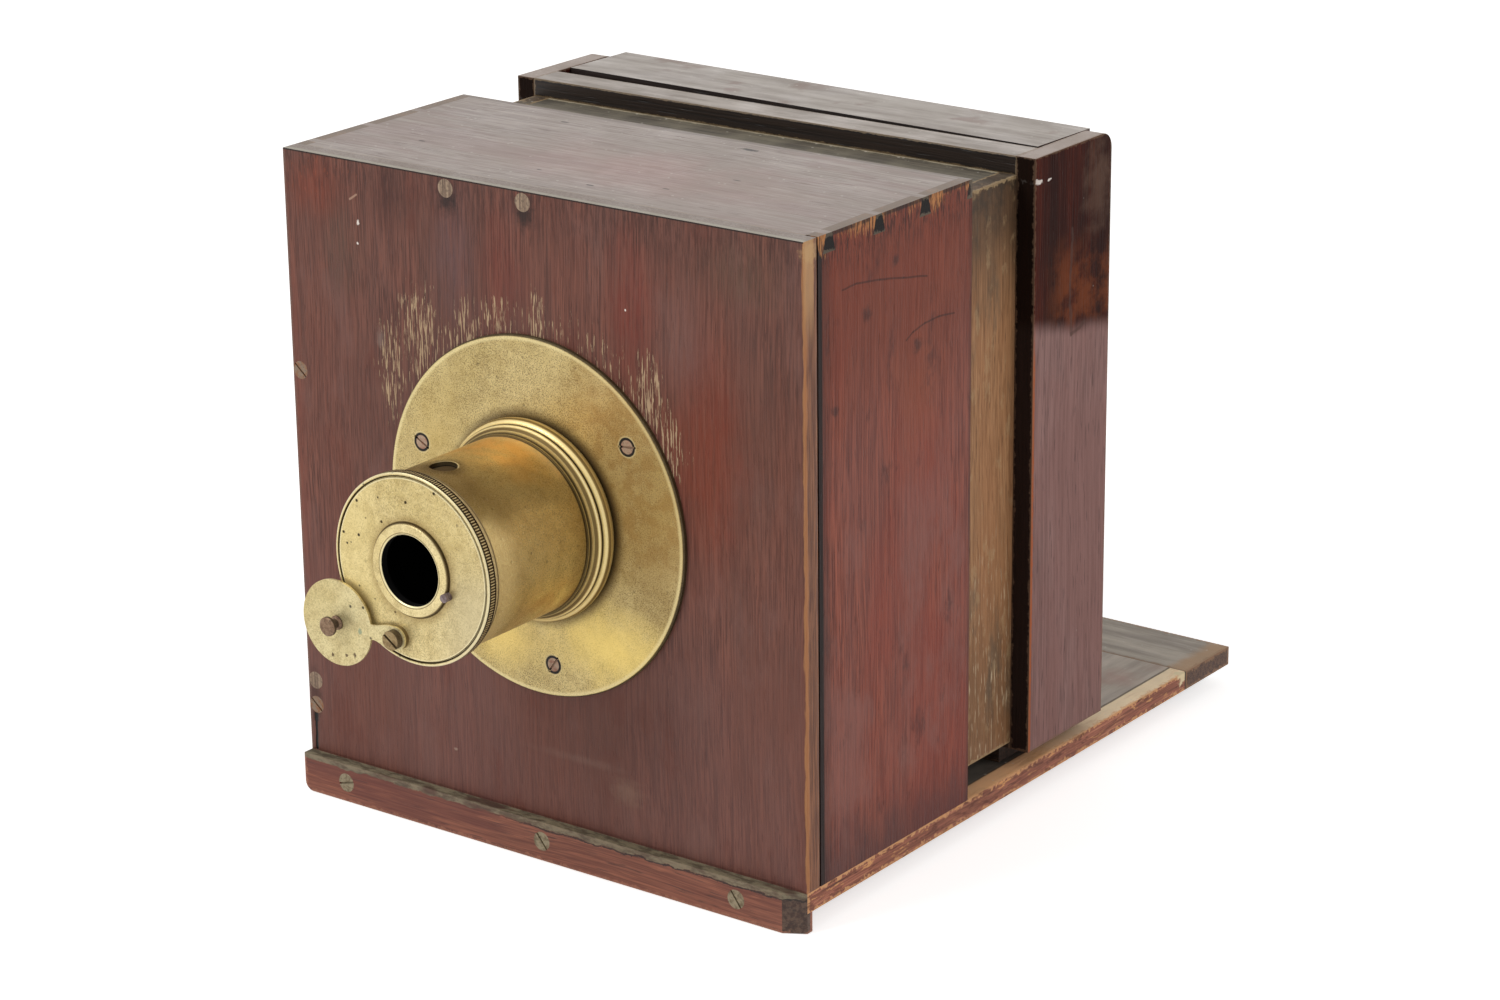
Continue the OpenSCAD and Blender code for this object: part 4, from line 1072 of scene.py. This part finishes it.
def finish_flange():
    tube, rim = 0.037, 0.075
    metal = Brass(
        "flange brass", (214, 194, 138), (196, 174, 114), rough=0.42, seed=0.0, speckle=0.6,
        pits=0.35, metal=0.6,
    )
    reach = metal.reach
    x, _, z = metal.parts(metal.turned)
    # Browner to the right of the tube; a painted reflection of the floor makes the foot of the
    # flange bright yellow
    drift = metal.plus(x, metal.clouds(metal.place, 30.0, 4.0), 0.03)
    mottled = metal.plus(0.6, metal.age["Blotches"], 0.4)
    brown = metal.both(metal.fade(drift, 0.02, 0.06), metal.fade(z, -0.024, 0.004), mottled)
    metal.coat(brown, (166, 128, 70), 0.6)
    # Patches: darker brown at the right, a painted reflection of the floor in yellow at the foot,
    # and duller at the upper left
    for across, up, wide, tall, colour, strength in (
        (0.062, 0.128, 0.03, 0.04, (128, 98, 50), 0.4),
        (0.036, 0.1, 0.044, 0.027, (255, 226, 130), 0.8),
        (-0.02, 0.096, 0.034, 0.022, (248, 218, 128), 0.7),
        (-0.05, 0.172, 0.026, 0.03, (196, 168, 98), 0.5),
    ):
        patch = metal.patch((across, 0, up), (wide, 0.02, tall), 0.0, 0.2, 60.0)
        metal.coat(patch, colour, strength)
    # A darker ring at the tube's foot, a painted highlight on the arris, and painted shade on the
    # rim outside it
    metal.coat(metal.fade(reach, tube + 0.0105, tube + 0.0048), (76, 56, 28), 0.8)
    arris = metal.band(reach, rim - 0.0026, rim - 0.0014, rim - 0.0009, rim - 0.0004)
    metal.coat(arris, (240, 224, 168), 0.6)
    metal.coat(metal.fade(reach, rim - 0.0007, rim - 0.0003), (44, 34, 22), 0.85)
    for place in FLANGE_SCREWS:
        metal.coat(metal.patch(place, (0.0048, 1, 0.0048), 0.92, 0.02), (232, 218, 172), 0.3)
    metal.put_on("lens_flange")


finish_flange()
make_iron(
    "flange screw iron", (176, 150, 128), ("flange_screws",), (164, 112, 92),
    heads=[(place, 0.003) for place in FLANGE_SCREWS],
)


# Lens tube: drawn brass with a turned moulding at the flange, and a round port
# in its top. Blacked inside. Orange tarnish runs along the top behind the port,
# with a painted reflection below it as an olive brown band.
def finish_barrel():
    metal = Brass(
        "tube brass", (218, 194, 126), (200, 170, 102), rough=0.36, seed=1.3, speckle=0.45,
        pits=0.35, metal=0.75,
    )
    reach = metal.reach
    _, y, z = metal.parts(metal.turned)
    waver = metal.plus(z, metal.clouds(metal.place, 60.0, 4.0), 0.016)
    blotches = metal.fade(metal.clouds(metal.place, 110.0, 5.0, 0.65), 0.3, 0.6)
    behind = metal.fade(metal.plus(y, metal.clouds(metal.place, 80.0, 4.0), 0.03), -0.036, -0.012)
    orange = metal.both(metal.fade(waver, 0.032, 0.041), behind, metal.plus(0.4, blotches, 0.6))
    metal.coat(orange, (242, 180, 92), 0.72)
    # The olive brown band below the top is a painted reflection
    olive = metal.band(waver, 0.024, 0.033, 0.038, 0.046)
    metal.coat(metal.both(olive, metal.fade(y, -0.008, -0.035)), (108, 88, 44), 0.45)
    low = metal.both(metal.fade(z, -0.004, -0.02), metal.fade(y, -0.06, -0.04))
    metal.coat(metal.both(low, blotches), (176, 122, 62), 0.45)
    # Painted reflections, brown round the port and beside the moulding, and painted highlights,
    # pale behind the cap and on the moulding's top
    for along, across, colour, strength in (
        (metal.fade(waver, 0.034, 0.042), metal.fade(y, -0.05, -0.06), (112, 86, 44), 0.55),
        (metal.fade(y, -0.026, -0.015), metal.fade(z, 0.03, 0.018), (132, 104, 52), 0.4),
        (metal.fade(y, -0.05, -0.065), metal.fade(waver, 0.034, 0.024), (250, 228, 162), 0.55),
        (metal.fade(y, -0.022, -0.013), metal.fade(z, 0.022, 0.032), (248, 226, 168), 0.5),
    ):
        metal.coat(metal.both(along, across), colour, strength)
    scratch = metal.line((0.0115, -0.0598, 0.1838), (0.0142, -0.0588, 0.1826), 0.0005, 0.001)
    metal.coat(scratch, (34, 38, 24), 0.9)
    # The port: a painted highlight on the lip behind it, painted shade round it, and painted shade
    # on the cut edge
    port = (0.0006, -0.0564, 0)
    away = metal.vector("MULTIPLY", metal.vector("SUBTRACT", metal.turned, port), (1, 1, 0))
    rearward = metal.parts(away)[1]
    away = metal.vector("LENGTH", away)
    above = metal.fade(z, 0.0, 0.02)
    metal.coat(metal.both(metal.fade(away, 0.0105, 0.0065), above), (84, 62, 30), 0.5)
    lip_highlight = metal.both(metal.fade(away, 0.0063, 0.006), above, metal.fade(rearward, 0.001, 0.0035))
    metal.coat(lip_highlight, (240, 222, 168), 0.85)
    metal.coat(metal.both(metal.fade(away, 0.0057, 0.0055), above), (58, 42, 24), 0.9)
    # Painted highlights on the beads and painted shade in the grooves of the moulding
    metal.coat(metal.fade(reach, 0.0369, 0.0373), (216, 192, 128), 0.75)
    metal.lit_and_shaded_rings(y, (
        (0.0028, 0.0007, (60, 42, 20), 0.85),
        (0.0046, 0.0006, (236, 216, 156), 0.3),
        (0.0066, 0.0006, (96, 72, 34), 0.8),
        (0.0077, 0.0004, (244, 226, 170), 0.5),
        (0.0089, 0.0005, (44, 30, 14), 0.95),
        (0.0099, 0.0004, (246, 230, 178), 0.65),
        (0.0112, 0.0006, (78, 56, 26), 0.85),
        (0.0124, 0.0004, (244, 228, 174), 0.6),
        (0.0133, 0.0004, (54, 38, 18), 0.9),
        (0.0146, 0.0005, (48, 34, 16), 0.85),
    ))
    metal.blacken(metal.fade(reach, 0.0354, 0.0351), (9, 8, 7), metal=0.75, gloss=0.2)
    metal.put_on("lens_barrel")


finish_barrel()


# Lens cell: a brass cell in the tube with a cemented pair of elements held by a
# ring. All of it is blacked against stray light.
def finish_cell():
    black = Finish("lens black", (14, 13, 12), 0.75, 0.2)
    rubbed = black.clouds(black.place, 500.0, 4.0)
    black.coat(black.fade(rubbed, 0.6, 0.75), (44, 38, 28), 0.5)
    black.carve(rubbed, 0.03)
    black.put_on("lens_cell", "lens_retaining_ring")


finish_cell()


def finish_elements():
    glass = Finish("lens glass", (250, 252, 248), 0.02, 0.5)
    glass.coat(glass.fade(glass.clouds(glass.place, 60.0, 4.0), 0.5, 0.8), (238, 240, 232), 0.5)
    glass.shader.inputs["Transmission Weight"].default_value = 1.0
    glass.put_on("front_element", "rear_element")


finish_elements()


# Front cap: a turned brass plate with a milled rim and a plain shoulder, on a
# sleeve that screws into the tube. Paler than the tube, pitted at left and top.
def finish_cap():
    plate_r, bore_r, front = 0.0371, 0.0144, -0.0765
    metal = Brass(
        "cap brass", (228, 210, 156), (206, 185, 126), rough=0.34, seed=2.2, speckle=0.34, pits=0.5,
        metal=0.7,
    )
    worn = metal.fade(metal.clouds(metal.place, 230.0, 5.0, 0.7), 0.5, 0.66)
    metal.coat(worn, (182, 160, 102), 0.3)
    reach = metal.reach
    x, y, z = metal.parts(metal.turned)
    metal.coat(metal.fade(x, -0.008, -0.03), (238, 218, 154), 0.4)
    lower_right = metal.both(metal.fade(x, 0.004, 0.03), metal.fade(z, 0.02, -0.012))
    metal.coat(lower_right, (197, 184, 148), 0.6)
    pits, few = metal.specks(metal.place, 280.0, (0.22, 0.13), 2, (0.5, 0.54))
    where = metal.either(metal.fade(x, 0.0, -0.012), metal.fade(z, 0.018, 0.028))
    holes = metal.both(few, where, pits)
    metal.coat(holes, (34, 24, 14), 0.95)
    metal.carve(holes, -0.12)
    # Darker where the raised ring meets the plate and in the turned groove, with painted highlights
    # at the edge of the plate and on the band's face
    face = metal.fade(y, front + 0.001, front + 0.0003)
    metal.coat(metal.both(metal.fade(reach, 0.0236, 0.0194), face), (140, 112, 62), 0.45)
    metal.coat(metal.both(metal.fade(reach, 0.0198, 0.0193), face), (58, 42, 22), 0.85)
    edge = metal.band(reach, plate_r - 0.0009, plate_r - 0.0005, plate_r - 0.0002, plate_r)
    metal.coat(metal.both(edge, face), (246, 234, 190), 0.6)
    groove = metal.band(reach, plate_r, plate_r + 0.0002, plate_r + 0.0006, plate_r + 0.0008)
    metal.coat(groove, (46, 34, 20), 0.9)
    metal.coat(metal.both(metal.fade(reach, 0.038, 0.0382), face), (240, 228, 186), 0.6)
    # The milled band behind the plate, cut in lines along the tube
    rim = metal.both(
        metal.fade(reach, 0.0384, 0.0387), metal.fade(y, front + 0.0004, front + 0.0007)
    )
    teeth = metal.calc("SINE", metal.calc("MULTIPLY", metal.calc("ARCTAN2", x, z), 210.0))
    milled = metal.both(rim, metal.fade(teeth, -0.1, 0.6))
    metal.coat(rim, (62, 46, 24), 0.95)
    metal.coat(milled, (226, 206, 152), 0.9)
    metal.carve(milled, 0.25)
    # The shoulder, with painted shade in dark lines where band, shoulder and tube meet, and a
    # painted highlight behind the band
    outside = metal.band(reach, plate_r, plate_r + 0.0002, 0.038, 0.0384)
    shoulder = metal.both(outside, metal.fade(y, front + 0.0035, front + 0.0043))
    metal.coat(shoulder, (228, 206, 150), 0.8)
    outer = metal.fade(reach, plate_r, plate_r + 0.0002)
    metal.lit_and_shaded_rings(y, (
        (0.0757, 0.0004, (40, 30, 16), 0.95),
        (0.0726, 0.0005, (36, 26, 14), 0.95),
        (0.0716, 0.0004, (250, 236, 184), 0.85),
        (0.0692, 0.0004, (84, 62, 32), 0.7),
    ), outer)
    # Black inside, but for the sleeve's outside, which is painted dark brown as brass in shade and
    # shows so in the port
    behind_plate = metal.both(
        metal.fade(reach, 0.0366, 0.0363), metal.fade(y, front + 0.002, front + 0.003)
    )
    inside = metal.either(behind_plate, metal.fade(reach, bore_r + 0.00005, bore_r - 0.00005))
    black = metal.cover(metal.fade(reach, 0.0335, 0.0345), (6, 5, 5), (84, 66, 40))
    metal.blacken(inside, black, metal=0.7, gloss=0.15)
    metal.put_on("front_cap")


finish_cap()


def finish_ring():
    bore_r = 0.0144
    metal = Brass(
        "opening ring brass", (244, 228, 176), (222, 202, 144), rough=0.32, seed=2.9, speckle=0.2,
        pits=0.5, metal=0.7,
    )
    reach = metal.reach
    # A painted highlight on the inner rim with a dark line outside it, and painted shade at the
    # outer edge where the ring meets the plate
    metal.coat(metal.fade(reach, 0.0151, 0.0148), (250, 238, 192), 0.7)
    metal.coat(metal.band(reach, 0.0149, 0.0151, 0.0153, 0.0155), (98, 76, 40), 0.7)
    metal.coat(metal.fade(reach, 0.0184, 0.0188), (80, 60, 32), 0.8)
    bore = metal.fade(reach, bore_r + 0.00005, bore_r - 0.00005)
    metal.blacken(bore, (6, 5, 5), metal=0.7, gloss=0.15)
    metal.put_on("aperture_ring", "pivot_washer")


finish_ring()


# Shutter: a thin brass disc with a tail that turns on a slotted screw, moved
# by a small turned knob until its edge meets a lug on the cap.
def finish_shutter():
    metal = Brass(
        "shutter brass", (226, 212, 162), (206, 188, 132), rough=0.36, seed=5.2, speckle=0.25,
        pits=0.9, metal=0.6,
    )
    face = -0.0785
    green = metal.patch((-0.027, face, 0.1175), (0.0011, 0.01, 0.0016), 0.5, 0.4, 900.0)
    metal.coat(green, (150, 160, 130), 0.9)
    for x, z in ((-0.0419, 0.1046), (-0.0302, 0.1067), (-0.0345, 0.1058)):
        dent = metal.patch((x, face, z), (0.0009, 0.01, 0.0012), 0.5, 0.6, 900.0)
        metal.coat(dent, (70, 44, 26), 0.85)
    metal.put_on("shutter_disc")


finish_shutter()
make_iron("shutter knob metal", (146, 118, 92), ("shutter_knob",), (112, 84, 66), sides=0.75)
make_iron("pivot screw metal", (158, 134, 92), ("pivot_screw",), (118, 94, 60), sides=0.7)
make_iron("stop lug metal", (138, 122, 122), ("stop_lug",), (90, 72, 68))


# The studio: a white floor that runs into a white surround, one broad soft
# lamp high at the front left, and a weaker one at the right.
def lay_floor():
    bpy.ops.mesh.primitive_circle_add(
        vertices=96, radius=14, fill_type="NGON", location=(0, 0, -0.0004)
    )
    floor = bpy.context.object
    floor.name = "floor"
    white = Wires(None)
    material = bpy.data.materials.new("white floor")
    material.use_nodes = True
    white.tree = material.node_tree
    shader = white.tree.nodes["Principled BSDF"]
    shader.inputs["Base Color"].default_value = (0.86, 0.845, 0.83, 1)
    shader.inputs["Roughness"].default_value = 1
    shader.inputs["Specular IOR Level"].default_value = 0
    rays = white.node("LightPath").outputs
    mirrored = white.calc("ADD", rays["Is Glossy Ray"], rays["Is Transmission Ray"])
    shader.inputs["Emission Color"].default_value = (1, 1, 1, 1)
    glow = white.plus(white.calc("MULTIPLY", mirrored, 0.42), rays["Is Camera Ray"], 0.6)
    white.join(glow, shader.inputs["Emission Strength"])
    floor.data.materials.append(material)


lay_floor()


def light_world():
    world = bpy.data.worlds.new("white surround")
    bpy.context.scene.world = world
    world.use_nodes = True
    air = Wires(world.node_tree)
    background = air.tree.nodes["Background"]
    background.inputs["Color"].default_value = (1, 1, 1, 1)
    rays = air.node("LightPath").outputs
    mirrored = air.calc("ADD", rays["Is Glossy Ray"], rays["Is Transmission Ray"])
    seen = air.calc("ADD", rays["Is Camera Ray"], mirrored, clamp=True)
    air.join(air.plus(0.48, seen, 0.52), background.inputs["Strength"])


light_world()


def hang_lamp(name, place, size, power):
    lamp = bpy.data.lights.new(name, "AREA")
    lamp.shape = "DISK"
    lamp.size = size
    lamp.energy = power
    hung = bpy.data.objects.new(name, lamp)
    away = Vector(place) - Vector((0, 0.1, 0.15))
    aim = away.to_track_quat("Z", "Y").to_matrix().to_4x4()
    hung.matrix_world = Matrix.Translation(place) @ aim
    bpy.context.scene.collection.objects.link(hung)


hang_lamp("key lamp", (-1.1, -1.9, 2.1), 1.4, 36)
hang_lamp("side lamp", (2.4, 0.6, 1.6), 1.6, 20)
bpy.context.scene.view_settings.view_transform = "Standard"
